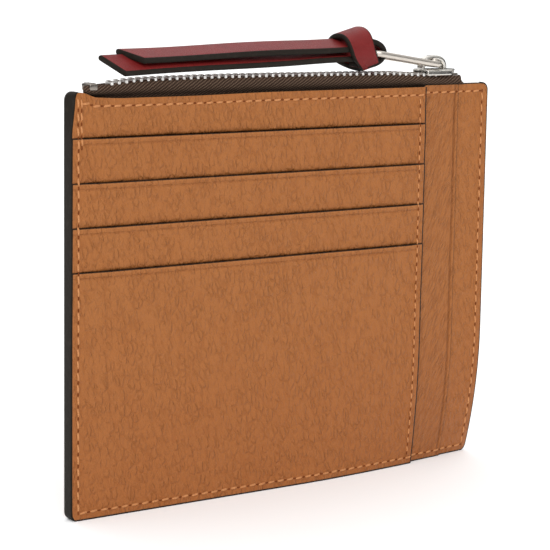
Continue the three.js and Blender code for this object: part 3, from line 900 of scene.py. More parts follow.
@dataclass
class SlotStrip(LeatherPanel):
    """A layer whose foot tucks into a slot below it, and whose top may be a slot's edge."""

    number: int = -1

    def face_y(self, x: float, z: float) -> float:
        """Face that leans out towards a leaf's top edge, or steps out above the slots."""
        if self.number >= 0:
            tucked = 0.35 * (1 - FORM.pressed(x)) * smooth(z, self.bottom + 4.3, self.bottom + 3.6)
            return FORM.leaf_y(self.number, x, z) + (tucked if self.number < FORM.slot_count - 1 else 0)
        return mix(self.face, FORM.strip_front, smooth(z, FORM.first_slot - 0.5, FORM.first_slot))

    def inner_y(self, x: float, z: float) -> float:
        """Inner face, which stays flat behind the top strip."""
        return self.face + self.thickness if self.number < 0 else super().inner_y(x, z)

    def relief(self, x: float, z: float) -> float:
        """Adds the puckers above the next slot, the dip into it and the crease below the own edge."""
        height = super().relief(x, z)
        ends = smooth(x, self.left, self.left + 4) * smooth(x, self.right, self.right - 4)
        below = self.number + 1
        if below < FORM.slot_count:
            above = z - FORM.slot_top(below)
            strength = mix(1.0, 0.55, smooth(x, -50, 10)) * ends
            swell = math.exp(-(((above - 1.15) / 0.75) ** 2))
            bulge = 0.5 + 0.9 * lumps(x / 2.1, below * 7.3, 0.4)
            ripple = lumps(x / 0.95, z / 1.5, below * 3.1)
            puckers = swell * (0.2 * bulge + 0.14 * ripple)
            fan = 0.05 * lumps(x / 1.6 + z / 1.2, z / 3.5, below * 5.7) * smooth(above, 5.0, 0.5)
            dip = -0.3 * math.exp(-((max(above, 0.0) / 0.35) ** 2))
            height += strength * (puckers + fan) * smooth(above, -1.2, 0.2) + dip * ends
        if self.number >= 0:
            down = self.top - z
            height -= 0.1 * math.exp(-(((down - 1.35) / 0.26) ** 2)) * ends
            height += 0.05 * math.exp(-(((down - 0.7) / 0.4) ** 2)) * ends
            height += 0.06 * lumps(x / 3.0, self.number * 4.1) * smooth(down, 3.0, 0.5) * ends
        return height


@dataclass
class LeatherWork:
    """All the leather layers of the pouch."""

    corner: float = 1.7
    back_thickness: float = 0.7
    base_thickness: float = 0.5
    pocket_thickness: float = 0.45
    backing_thickness: float = 0.25
    leaf_thickness: float = 0.5

    def build(self) -> list[bpy.types.Object]:
        """Builds every layer from the CAD nodes' extents."""
        low, high = (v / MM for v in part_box("back_panel"))
        left, right, top, round_ = low.x, high.x, high.z, self.corner
        full = (round_,) * 4
        full_front = (round_, round_, 0.8, round_)
        left_only = (round_, 0, 0.8, 0)
        base_low, base_high = (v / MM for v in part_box("front_base_panel"))
        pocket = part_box("side_pocket_panel")[1].x / MM
        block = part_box("slot_backing_panel")[1].x / MM
        first = FORM.first_slot
        pieces = [
            LeatherPanel(
                "back_leather", "back_panel", left, right, 0, top, FORM.back_face,
                self.back_thickness, PLAIN_LEATHER, Side.BACK, full,
            ).build(),
            LeatherPanel(
                "base_leather", "front_base_panel", base_low.x, base_high.x, 0, base_high.z,
                FORM.base_front, self.base_thickness, PLAIN_LEATHER, Side.FRONT, full_front,
            ).build(),
            SidePocket(
                "side_pocket_leather", "side_pocket_panel", left, pocket, 0, top,
                FORM.pocket_front, self.pocket_thickness, POCKET_LEATHER, Side.FRONT, left_only,
            ).build(),
            SlotStrip(
                "top_strip_leather", "slot_backing_panel", left, block, 0, top,
                FORM.backing_front, self.backing_thickness, FRONT_LEATHER, Side.FRONT, left_only,
                fine_bands=((first - 0.6, first + 3.2),), rim=0.1,
            ).build(),
        ]
        for number in range(FORM.slot_count):
            node = f"card_leaf_{number + 1}"
            foot, head = (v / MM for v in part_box(node))
            bands = ((head.z - 2.1, head.z),)
            if number + 1 < FORM.slot_count:
                under = FORM.slot_top(number + 1)
                bands = ((under - 0.6, under + 3.2),) + bands
            last = number == FORM.slot_count - 1
            pieces.append(
                SlotStrip(
                    f"{'lower_pocket' if last else 'card_slot'}_leather_{number + 1}", node,
                    foot.x, head.x, foot.z, head.z, FORM.leaf_front, self.leaf_thickness,
                    FRONT_LEATHER, Side.FRONT, (round_, 0, 0, 0) if last else (0, 0, 0, 0),
                    fine_bands=bands, number=number,
                ).build()
            )
        return pieces


@dataclass
class SidePocket(LeatherPanel):
    """The narrow open-sided pocket beside the slots, with a fold crease along its free edge."""

    crease: float = 1.15

    def relief(self, x: float, z: float) -> float:
        """Adds the groove of the fold crease."""
        inset = self.right - self.crease
        ends = smooth(z, self.bottom, self.bottom + 5) * smooth(z, self.top, self.top - 4)
        groove = 0.14 * math.exp(-(((x - inset) / 0.45) ** 2)) * ends
        lip = 0.08 * math.exp(-(((x - self.right + 0.4) / 0.35) ** 2)) * ends
        waves = 0.05 * lumps(x / 1.6 + z / 9, z / 14, 8.8) * smooth(x, FORM.block_right, FORM.block_right + 2)
        return super().relief(x, z) - groove + lip + waves

    def columns_step(self) -> float:
        """Width of the grid's columns."""
        return 0.45


@dataclass
class EdgeCoat:
    """The thick paint that seals the stacked layers along the left, the foot and the right side."""

    bulge: float = 0.05
    radius: float = 1.7
    sharp: float = 0.8
    sink: float = 0.12
    wall: float = 0.14

    def path(self, first_radius: float, trimmed: bool) -> list[tuple[float, float, float, float]]:
        """Stations round an outline of the pouch, from the top left down and round to the top right.

        Args:
            first_radius: Radius of the top left corner.
            trimmed: Whether the outline follows the front layers' trim.

        Returns:
            Each station's x, z and outward direction.
        """
        left, right, top, r = -FORM.right, FORM.right, FORM.top, self.radius
        corner_steps, side_steps, foot_steps = 8, 70, 90
        corners = (
            (left + first_radius, top - first_radius, first_radius, 95, 180, corner_steps),
            (left + r, r, r, 180, 270, corner_steps),
            (right - r, r, r, 270, 360, corner_steps),
            (right - r, top - r, r, 0, 85, corner_steps + 1),
        )
        sides = (
            ((left, top - first_radius), (left, r), (-1, 0), side_steps),
            ((left + r, 0), (right - r, 0), (0, -1), foot_steps),
            ((right, r), (right, top - r), (1, 0), side_steps),
        )
        stations = []
        for number, (x, z, radius, start, end, steps) in enumerate(corners):
            for i in range(steps):
                a = math.radians(mix(start, end, i / corner_steps))
                out_x, out_z = math.cos(a), math.sin(a)
                stations.append((x + radius * out_x, z + radius * out_z, out_x, out_z))
            if number < len(sides):
                (x0, z0), (x1, z1), (out_x, out_z), count = sides[number]
                for i in range(count):
                    stations.append((mix(x0, x1, i / count), mix(z0, z1, i / count), out_x, out_z))
        trim = 1.0 if trimmed else 0.0
        return [
            (x + trim * FORM.taper(x, z), z + FORM.lift(x, z), out_x, out_z)
            for x, z, out_x, out_z in stations
        ]

    def front(self, x: float, z: float) -> float:
        """Front face of the stack at the outline, eased where the layers step."""
        face = FORM.block_y(x, z)
        steps = (
            (FORM.block_right, FORM.pocket_front - face),
            (FORM.pocket_right, FORM.base_front - FORM.pocket_front),
        )
        for edge, rise in steps:
            face += rise * smooth(x, edge - 0.15, edge + 0.15)
        return face + FORM.curl(x, z)

    def build(self) -> bpy.types.Object:
        """Builds the coat as a thin crowned band."""
        fore = self.path(self.sharp, True)
        aft = self.path(self.radius, False)
        rows = 8

        def place(u: float, w: float) -> tuple[float, float, float]:
            """Point of the band a share round the outline and a share from front to back."""
            number = round(u * (len(fore) - 1))
            front_x, front_z, out_x, out_z = fore[number]
            back_x, back_z = aft[number][:2]
            x, z = mix(front_x, back_x, w), mix(front_z, back_z, w)
            front = self.front(front_x, front_z) + self.sink
            back = FORM.back_y(back_x, back_z) - self.sink
            swell = self.bulge * math.sin(math.pi * w) ** 0.5 + 0.01
            return x + out_x * swell, mix(front, back, w), z + out_z * swell

        bm = mapped_grid(len(fore) - 1, rows, place)
        bmesh.ops.recalc_face_normals(bm, faces=bm.faces)
        bmesh.ops.solidify(bm, geom=list(bm.faces), thickness=self.wall)
        return finish_piece(bm, "edge_paint_band", "pouch", (EDGE,), Slot.TAN)


# ---------------------------------------------------------------- sewing


@dataclass
class Seam:
    """A row of separate stitches with a dark patch of painted shade for the needle hole between each two, in
    millimetres.
    """

    name: str
    points: list[tuple[float, float]]
    surface: Callable[[float, float], float]
    side: Side
    replaced: tuple[str, ...] = ()
    pitch: float = 2.7
    length: float = 2.0
    width: float = 0.56
    height: float = 0.34
    slant: float = 6.0

    def spots(self) -> list[tuple[float, float, float, float]]:
        """Middle and direction of every stitch along the seam's runs."""
        found = []
        for (x0, z0), (x1, z1) in zip(self.points, self.points[1:]):
            run = math.hypot(x1 - x0, z1 - z0)
            count = max(1, round(run / self.pitch))
            along = ((x1 - x0) / run, (z1 - z0) / run)
            for i in range(count):
                share = (i + 0.5) / count
                found.append((mix(x0, x1, share), mix(z0, z1, share), along[0], along[1]))
        return found

    def build(self) -> list[bpy.types.Object]:
        """Builds the stitches and the painted hole shades between them."""
        stitches, holes = [], []
        for index, (x, z, dx, dz) in enumerate(self.spots()):
            wobble = 0.1 * lumps(index * 1.7, len(self.points), x)
            turn = math.radians(self.slant * (1 + 0.6 * lumps(index * 0.9, 2.2)))
            ax = dx * math.cos(turn) - dz * math.sin(turn)
            az = dx * math.sin(turn) + dz * math.cos(turn)
            long = self.length * (1 + 0.14 * lumps(index * 2.3, 7.7, z))
            px, pz = x - dz * wobble, z + dx * wobble
            stitches.append(self.bead(px, pz, ax, az, long, self.width, self.height, 8))
            at = self.pitch / 2
            hx, hz = x + dx * at, z + dz * at
            holes.append(self.bead(hx, hz, dx, dz, 1.1, 0.38, 0.12, 6))
        made = finish_piece(joined(stitches), self.name, "pouch", (THREAD,), Slot.THREAD, self.replaced)
        pits = finish_piece(joined(holes), self.name + "_holes", "pouch", (HOLE_SHADE,), Slot.TAN)
        return [made, pits]

    def bead(
        self, x: float, z: float, dx: float, dz: float, long: float, wide: float, high: float, sides: int
    ) -> bmesh.types.BMesh:
        """One flattened ball on the leather.

        Args:
            x: Its middle along the pouch.
            z: Its middle's height.
            dx: Its direction along the pouch.
            dz: Its direction upwards.
            long: Its length.
            wide: Its width.
            high: Its whole thickness, half of it sunk.
            sides: Faces round it.

        Returns:
            Its mesh.
        """
        bm = bmesh.new()
        bmesh.ops.create_uvsphere(bm, u_segments=sides, v_segments=6, radius=0.5)
        half = long / 2
        ends = [self.surface(x + s * dx * half, z + s * dz * half) for s in (-1, 0, 1)]
        for vert in bm.verts:
            t, s, h = vert.co.z * 2, vert.co.x * wide, vert.co.y * high
            flat = math.copysign(abs(t) ** 0.8, t)
            run = flat * half
            bend = mix(ends[1], ends[2] if t > 0 else ends[0], abs(t))
            lift = 0.07 - 0.2 * t * t
            out = self.side.value * (h + lift)
            rise = FORM.lift(x, z)
            vert.co = (x + dx * run - dz * s, bend + out, z + dz * run + dx * s + rise)
        return bm


@dataclass
class Stitching:
    """Every seam of the pouch."""

    inset: float = 1.8
    left_inset: float = 1.5
    top_inset: float = 1.9
    block_seam: float = 37.1

    def build(self) -> list[bpy.types.Object]:
        """Builds the seams of both faces."""
        left, right = -FORM.right + self.left_inset, FORM.right - self.inset
        foot, head = self.inset, FORM.top - self.top_inset
        outline = [(left, head + 1.2), (left, foot), (right, foot), (right, head)]
        top_row = [(left + 0.6, head), (right - 0.6, head)]
        tack = [(left + 0.85, head + 1.0), (left + 0.8, head - 9)]
        seams = [
            Seam("front_tack_seam", tack, FORM.front_y, Side.FRONT),
            Seam("front_seam", outline, FORM.front_y, Side.FRONT, ("perimeter_thread_front",)),
            Seam("front_top_seam", top_row, FORM.front_y, Side.FRONT, ("top_thread_front",)),
            Seam(
                "slot_seam", [(self.block_seam, head - 0.4), (self.block_seam, foot + 1.2)], FORM.front_y,
                Side.FRONT, ("slot_thread",), pitch=2.3, length=1.55, width=0.46,
            ),
            Seam("back_seam", outline, FORM.back_y, Side.BACK, ("perimeter_thread_back",)),
            Seam("back_top_seam", top_row, FORM.back_y, Side.BACK, ("top_thread_back",)),
        ]
        return [piece for seam in seams for piece in seam.build()]


# ---------------------------------------------------------------- cloth inside


@dataclass
class ClothLayer:
    """A thin sheet of lining inside the pouch, cut to its CAD node's size."""

    node: str
    name: str
    thickness: float
    step: float = 3.0

    def build(self) -> bpy.types.Object:
        low, high = (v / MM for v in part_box(self.node))
        columns = round((high.x - low.x) / self.step)
        rows = round((high.z - low.z) / self.step)

        def place(u: float, w: float) -> tuple[float, float, float]:
            """Point of the sheet's front side."""
            x, z = mix(low.x, high.x, u), mix(low.z, high.z, w)
            return x, low.y + self.thickness / 2 + FORM.curl(x, z), z

        bm = mapped_grid(columns, rows, place, (high.x - low.x, high.z - low.z))
        piece = finish_piece(bm, self.name, "pouch", (LINING,), Slot.LINING, (self.node,))
        solid = piece.modifiers.new("cloth", "SOLIDIFY")
        solid.thickness = self.thickness * MM
        solid.offset = 0
        return piece


# ---------------------------------------------------------------- zipper


@dataclass
class ZipperTape:
    """A folded woven tape that carries a row of teeth along its rolled upper edge."""

    side: Side
    left: float = -56.9
    far_left: float = -54.5
    right: float = 53.3
    end_slant: float = 3.0
    end_lean: float = 0.66
    lean_from: float = -1.86
    thickness: float = 0.26
    bead: float = 0.34

    def section(self) -> list[tuple[float, float]]:
        """The tape's middle line on the front side, from its edge inside the chain down into the pouch."""
        return [
            (-1.05, 97.92), (-1.25, 97.95), (-1.55, 97.85), (-1.82, 97.45), (-1.86, 97.0),
            (-1.66, 96.45), (-1.30, 95.93), (-0.75, 95.45), (-0.25, 94.9), (-0.19, 93.5), (-0.19, 89.0),
        ]

    def build(self) -> bpy.types.Object:
        """Builds the tape."""
        line = self.section()
        lengths = [0.0]
        for (y0, z0), (y1, z1) in zip(line, line[1:]):
            lengths.append(lengths[-1] + math.hypot(y1 - y0, z1 - z0))
        rows = 44
        across = -self.side.value

        def spot(w: float) -> tuple[float, float]:
            """Point of the section a share of its length down, rounded between its corners."""
            want = w * lengths[-1]
            index = max(i for i, length in enumerate(lengths[:-1]) if length <= want)
            share = (want - lengths[index]) / (lengths[index + 1] - lengths[index])
            before, after = max(0, index - 1), min(len(line) - 1, index + 2)
            out = []
            for axis in (0, 1):
                a, b, c, d = (line[i][axis] for i in (before, index, index + 1, after))
                out.append(
                    0.5 * (2 * b + (c - a) * share + (2 * a - 5 * b + 4 * c - d) * share**2
                           + (3 * b - a - 3 * c + d) * share**3)
                )
            return out[0], out[1]

        def place(u: float, w: float) -> tuple[float, float, float]:
            """Point of the tape a share along and a share down."""
            y, z = spot(w)
            rise = smooth(z, 94.5, 97.2)
            slant = self.end_slant * (1 - rise) * smooth(u, 0.9, 1.0)
            start = self.left if self.side is Side.FRONT else self.far_left
            start += self.end_lean * (y - self.lean_from)
            x = mix(start, self.right - self.end_slant, u) + slant
            ripple = 0.05 * lumps(x / 3.1, 4.0 * across) * rise
            return x, across * (y - ripple), z + FORM.chain_rise(x) * rise

        length = self.right - self.left
        bm = mapped_grid(180, rows, place, (length, -lengths[-1]))
        node = "zipper_tape_front" if self.side is Side.FRONT else "zipper_tape_back"
        bmesh.ops.recalc_face_normals(bm, faces=bm.faces)
        piece = finish_piece(
            bm, node.replace("zipper_", "woven_"), "pouch", (TAPE,), Slot.TAPE, (node,), recalculate=False
        )
        solid = piece.modifiers.new("cloth", "SOLIDIFY")
        solid.thickness = self.thickness * MM
        solid.offset = 0
        return piece


@dataclass
class TeethRow:
    """A row of clamped metal teeth."""

    side: Side
    first: float
    count: int
    pitch: float = 1.876
    length: float = 0.68

    def tooth(self, x: float) -> bmesh.types.BMesh:
        """One tooth: a head that locks over the middle, a body and two legs that grip the tape."""
        outline = [
            (0.5, 97.6), (0.52, 98.15), (0.2, 98.42), (-0.9, 98.6), (-1.7, 98.58), (-2.08, 98.42),
            (-2.14, 97.9), (-2.04, 97.76), (-1.84, 97.76), (-1.74, 97.95), (-1.18, 97.9),
            (-1.12, 97.42), (-0.66, 97.38), (-0.3, 97.25),
        ]
        across = -self.side.value
        bm = bmesh.new()
        rise = FORM.chain_rise(x)
        verts = [bm.verts.new((x - self.length / 2, across * y, z + rise)) for y, z in outline]
        face = bm.faces.new(verts)
        pushed = bmesh.ops.extrude_face_region(bm, geom=[face], use_keep_orig=True)
        moved = [g for g in pushed["geom"] if isinstance(g, bmesh.types.BMVert)]
        bmesh.ops.translate(bm, verts=moved, vec=(self.length, 0, 0))
        bmesh.ops.recalc_face_normals(bm, faces=bm.faces)
        ends = [f for f in bm.faces if len(f.verts) == len(outline)]
        rims = {e for f in ends for e in f.edges}
        soften(bm, rims, 0.1, 1)
        bm.normal_update()
        # Faces turned upwards take the darker copy: painted shade on the teeth tops.
        for side in bm.faces:
            side.material_index = 1 if side.normal.z > 0.55 else 0
        return bm

    def build(self) -> bpy.types.Object:
        """Builds the row."""
        parts = [self.tooth(self.first + i * self.pitch) for i in range(self.count)]
        node = "zipper_teeth_front" if self.side is Side.FRONT else "zipper_teeth_back"
        name = node.replace("zipper_", "metal_")
        metals = (TOOTH_METAL, TOOTH_TOP_SHADE)
        return finish_piece(
            joined(parts), name, "pouch", metals, Slot.POLISHED, (node,), smooth_shade=False
        )


def rounded_block(low: Vector, high: Vector, radius: float, segments: int = 3) -> bmesh.types.BMesh:
    """A block with rounded edges between two corners, in millimetres.

    Args:
        low: Its lowest corner.
        high: Its highest corner.
        radius: The rounding.
        segments: Faces across the rounding.

    Returns:
        Its mesh.
    """
    bm = bmesh.new()
    bmesh.ops.create_cube(bm, size=1.0)
    bmesh.ops.scale(bm, vec=high - low, verts=bm.verts)
    bmesh.ops.translate(bm, vec=(high + low) / 2, verts=bm.verts)
    soften(bm, bm.edges, radius, segments)
    return bm


@dataclass
class ZipperStops:
    """The clamped metal stops at both ends of the chain."""

    def build(self) -> list[bpy.types.Object]:
        """Builds the bottom stop and both top stops in their nodes' boxes."""
        pieces = []
        for node, radius in (("bottom_stop", 0.35), ("top_stop_front", 0.2), ("top_stop_back", 0.2)):
            low, high = (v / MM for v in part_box(node))
            ridges = []
            if node == "bottom_stop":
                low += Vector((0.3, -0.45, -0.4))
                high -= Vector((0, 0, 0.1))
                ridge_low = Vector((low.x + 0.45, low.y + 0.3, high.z - 0.28))
                ridge_high = Vector((high.x - 0.45, high.y - 0.3, high.z + 0.12))
                ridges.append(rounded_block(ridge_low, ridge_high, 0.1))
            parts = [rounded_block(low, high, radius), *ridges]
            pieces.append(
                finish_piece(joined(parts), f"metal_{node}", "pouch", (STOP_METAL,), Slot.POLISHED, (node,))
            )
        return pieces


# ---------------------------------------------------------------- slider and link


def ribbon(
    stations: list[tuple[Vector, Vector, Vector]],
    width: float | list[float],
    thickness: float,
    radius: float,
    closed: bool = False,
) -> bmesh.types.BMesh:
    """A flat bar with rounded edges swept along stations; its edges carry material number 1.

    Args:
        stations: Middle, width direction and face direction of each station.
        width: Width of the bar, or one for each station.
        thickness: Thickness of the bar.
        radius: Rounding of its edges.
        closed: Whether its end joins its start.

    Returns:
        The mesh, in millimetres.
    """
    flat = 6
    rounding = 4
    widths = width if isinstance(width, list) else [width] * len(stations)

    def section(index: int, half_width: float) -> tuple[float, float]:
        """Point of the section by its number, anticlockwise from the lower right of the top face."""
        half = thickness / 2
        side = half_width - radius
        turn, place = divmod(index, flat + rounding * 2)
        sign = 1 if turn == 0 else -1
        if place <= flat:
            return sign * mix(side, -side, place / flat), sign * half
        angle = math.pi / 2 + math.pi * (place - flat) / (rounding * 2)
        out = math.cos(angle)
        up = math.sin(angle)
        return sign * (-side + out * radius), sign * up * half

    around = 2 * (flat + rounding * 2)
    last = len(stations) - 1

    def place(u: float, w: float) -> tuple[float, float, float]:
        """Point of the bar a share along and a share round its section."""
        number = round(u * last)
        middle, across, face = stations[number]
        a, b = section(round(w * around) % around, widths[number] / 2)
        return tuple(middle + across * a + face * b)

    bm = bmesh.new()
    bmesh.ops.create_grid(bm, x_segments=last, y_segments=around, size=0.5)
    for face in bm.faces:
        row = int((face.calc_center_median().y + 0.5) * around) % (flat + rounding * 2)
        face.material_index = 1 if row >= flat else 0
    for vert in bm.verts:
        vert.co = place(vert.co.x + 0.5, vert.co.y + 0.5)
    bmesh.ops.remove_doubles(bm, verts=bm.verts, dist=1e-4)
    if not closed:
        open_edges = [e for e in bm.edges if e.is_boundary]
        caps = bmesh.ops.holes_fill(bm, edges=open_edges, sides=0)["faces"]
        for cap in caps:
            cap.material_index = 1
        bmesh.ops.recalc_face_normals(bm, faces=bm.faces)
        rims = {e for cap in caps for e in cap.edges}
        soften(bm, rims, min(radius, thickness) * 0.3, 2, 1)
    bmesh.ops.recalc_face_normals(bm, faces=bm.faces)
    return bm


@dataclass
class Slider:
    """The polished slider: a winged top plate, two flanges, a lower plate, a post and an arched crown."""

    set_back: float = -0.6
    plate_low: float = 98.85
    plate_high: float = 99.22
    crown_middle: float = 42.5
    crown_half: float = 3.42
    crown_rise: float = 2.95
    crown_foot: float = 99.0

    def wing(self, low: float, high: float) -> bmesh.types.BMesh:
        """A plate in the slider's plan shape.

        Args:
            low: Height of its underside.
            high: Height of its top.

        Returns:
            Its mesh.
        """
        half = [
            (39.2, 2.35), (39.45, 2.75), (40.2, 3.0), (43.0, 3.2), (45.6, 3.45), (46.7, 3.42),
            (47.5, 3.0), (48.4, 2.1), (49.3, 1.35), (49.8, 0.7),
        ]
        outline = half + [(x, -y) for x, y in reversed(half)]
        bm = bmesh.new()
        verts = [bm.verts.new((x, y, low)) for x, y in outline]
        face = bm.faces.new(verts)
        pushed = bmesh.ops.extrude_face_region(bm, geom=[face], use_keep_orig=True)
        moved = [g for g in pushed["geom"] if isinstance(g, bmesh.types.BMVert)]
        bmesh.ops.translate(bm, verts=moved, vec=(0, 0, high - low))
        bmesh.ops.recalc_face_normals(bm, faces=bm.faces)
        rims = [e for e in bm.edges if abs(e.verts[0].co.z - e.verts[1].co.z) < 1e-6]
        soften(bm, rims, 0.2, 3)
        return bm

    def flange(self, sign: int) -> bmesh.types.BMesh:
        """A side wall that curls in under the chain."""
        section = [(3.2, 98.95), (3.28, 98.5), (3.36, 98.05), (3.3, 97.85), (3.05, 97.72), (2.6, 97.72)]
        stations = [(y * sign, z) for y, z in section]

        def place(u: float, w: float) -> tuple[float, float, float]:
            """Point of the wall a share along the slider and a share down."""
            at = w * (len(stations) - 1)
            index = min(len(stations) - 2, int(at))
            y = mix(stations[index][0], stations[index + 1][0], at - index)
            z = mix(stations[index][1], stations[index + 1][1], at - index)
            taper = mix(0.35, 0.0, smooth(u, 0.0, 0.5)) + 0.35 * smooth(u, 0.85, 1.0)
            return mix(39.5, 47.0, u), y - sign * taper, z

        bm = mapped_grid(16, 12, place)
        bmesh.ops.recalc_face_normals(bm, faces=bm.faces)
        bmesh.ops.solidify(bm, geom=list(bm.faces), thickness=0.45 * sign)
        return bm

    def crown(self) -> bmesh.types.BMesh:
        """The arched bridge that holds the link."""
        middles = []
        steps = 36
        for i in range(steps + 1):
            angle = math.pi * i / steps
            c, s = math.cos(angle), math.sin(angle)
            x = self.crown_middle - math.copysign(abs(c) ** 0.8, c) * self.crown_half
            z = self.crown_foot + abs(s) ** 0.72 * self.crown_rise
            middles.append(Vector((x, 0, z)))
        made = []
        for i, middle in enumerate(middles):
            before = middles[max(0, i - 1)]
            after = middles[min(steps, i + 1)]
            along = (after - before).normalized()
            across = Vector((0, 1, 0))
            made.append((middle, across, across.cross(along) * -1))
        return ribbon(made, 2.2, 1.3, 0.5)

    def build(self) -> bpy.types.Object:
        """Builds the slider."""
        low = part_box("slider_body")[0] / MM
        parts = [
            self.wing(self.plate_low, self.plate_high),
            self.flange(1),
            self.flange(-1),
            rounded_block(Vector((39.5, -1.0, low.z)), Vector((49.3, 1.0, low.z + 0.5)), 0.18),
            rounded_block(Vector((47.5, -0.38, low.z + 0.2)), Vector((49.1, 0.38, 98.9)), 0.15),
            rounded_block(Vector((48.7, -0.8, 98.2)), Vector((49.85, 0.8, 98.95)), 0.3),
        ]
        for part in parts:
            bmesh.ops.translate(part, verts=part.verts, vec=(self.set_back, 0, 0))
        parts.append(self.crown())
        return finish_piece(
            joined(parts), "polished_slider", "slider", (POLISHED, POLISHED), Slot.POLISHED, ("slider_body",)
        )


@dataclass
class PullLink:
    """The satin link between the slider and the strap, a rounded wedge-shaped ring."""

    pivot: Vector = field(default_factory=lambda: Vector((43.4, 0, 100.3)))
    rise: float = 8.52
    length: float = 21.6
    narrow: float = 6.4
    wide: float = 10.6
    bar: float = 1.4
    thickness: float = 1.45
    corner: float = 1.9
    boss: float = 1.1
    boss_back: float = 1.5
    boss_out: float = 1.95

    def outline(self) -> list[Vector]:
        """The ring's middle line in the plan, from the middle of its narrow end."""
        half_near, half_far = self.narrow / 2 - self.bar / 2, self.wide / 2 - self.bar / 2
        corners = [(0.0, half_near), (-self.length, half_far), (-self.length, -half_far), (0.0, -half_near)]
        points = []
        for i, (x, y) in enumerate(corners):
            here = Vector((x, y))
            before = Vector(corners[i - 1])
            after = Vector(corners[(i + 1) % 4])
            a = here + (before - here).normalized() * self.corner
            b = here + (after - here).normalized() * self.corner
            for j in range(9):
                t = j / 8
                points.append(a * (1 - t) ** 2 + here * 2 * t * (1 - t) + b * t * t)
        dense = []
        for i, point in enumerate(points):
            following = points[(i + 1) % len(points)]
            count = max(1, round((following - point).length / 1.0))
            dense += [point.lerp(following, j / count) for j in range(count)]
        return dense

    def build(self) -> bpy.types.Object:
        """Builds the ring, risen towards the strap."""
        points = self.outline()
        turn = Matrix.Rotation(math.radians(self.rise), 4, "Y")
        stations = []
        for i, point in enumerate(points + points[:1]):
            before = points[(i - 1) % len(points)]
            after = points[(i + 1) % len(points)]
            along = (after - before).normalized()
            middle = self.pivot + turn @ Vector((point.x, point.y, 0))
            across = turn @ Vector((-along.y, along.x, 0))
            stations.append((middle, across, turn @ Vector((0, 0, 1))))
        parts = [ribbon(stations, self.bar, self.thickness, 0.5, closed=True)]
        for side in (-1, 1):
            parts.append(self.stud(self.pivot + Vector((-self.boss_back, side * self.boss_out, 0.6))))
        return finish_piece(joined(parts), "satin_link", "link", (SATIN, SATIN), Slot.SATIN, ("pull_link",))

    def stud(self, middle: Vector) -> bmesh.types.BMesh:
        """A domed stud on one side of the ring's narrow end."""
        bm = bmesh.new()
        bmesh.ops.create_uvsphere(bm, u_segments=20, v_segments=12, radius=self.boss)
        for vert in bm.verts:
            vert.co = Vector((vert.co.x, vert.co.y * 0.62, vert.co.z)) + middle
        return bm


# ---------------------------------------------------------------- strap


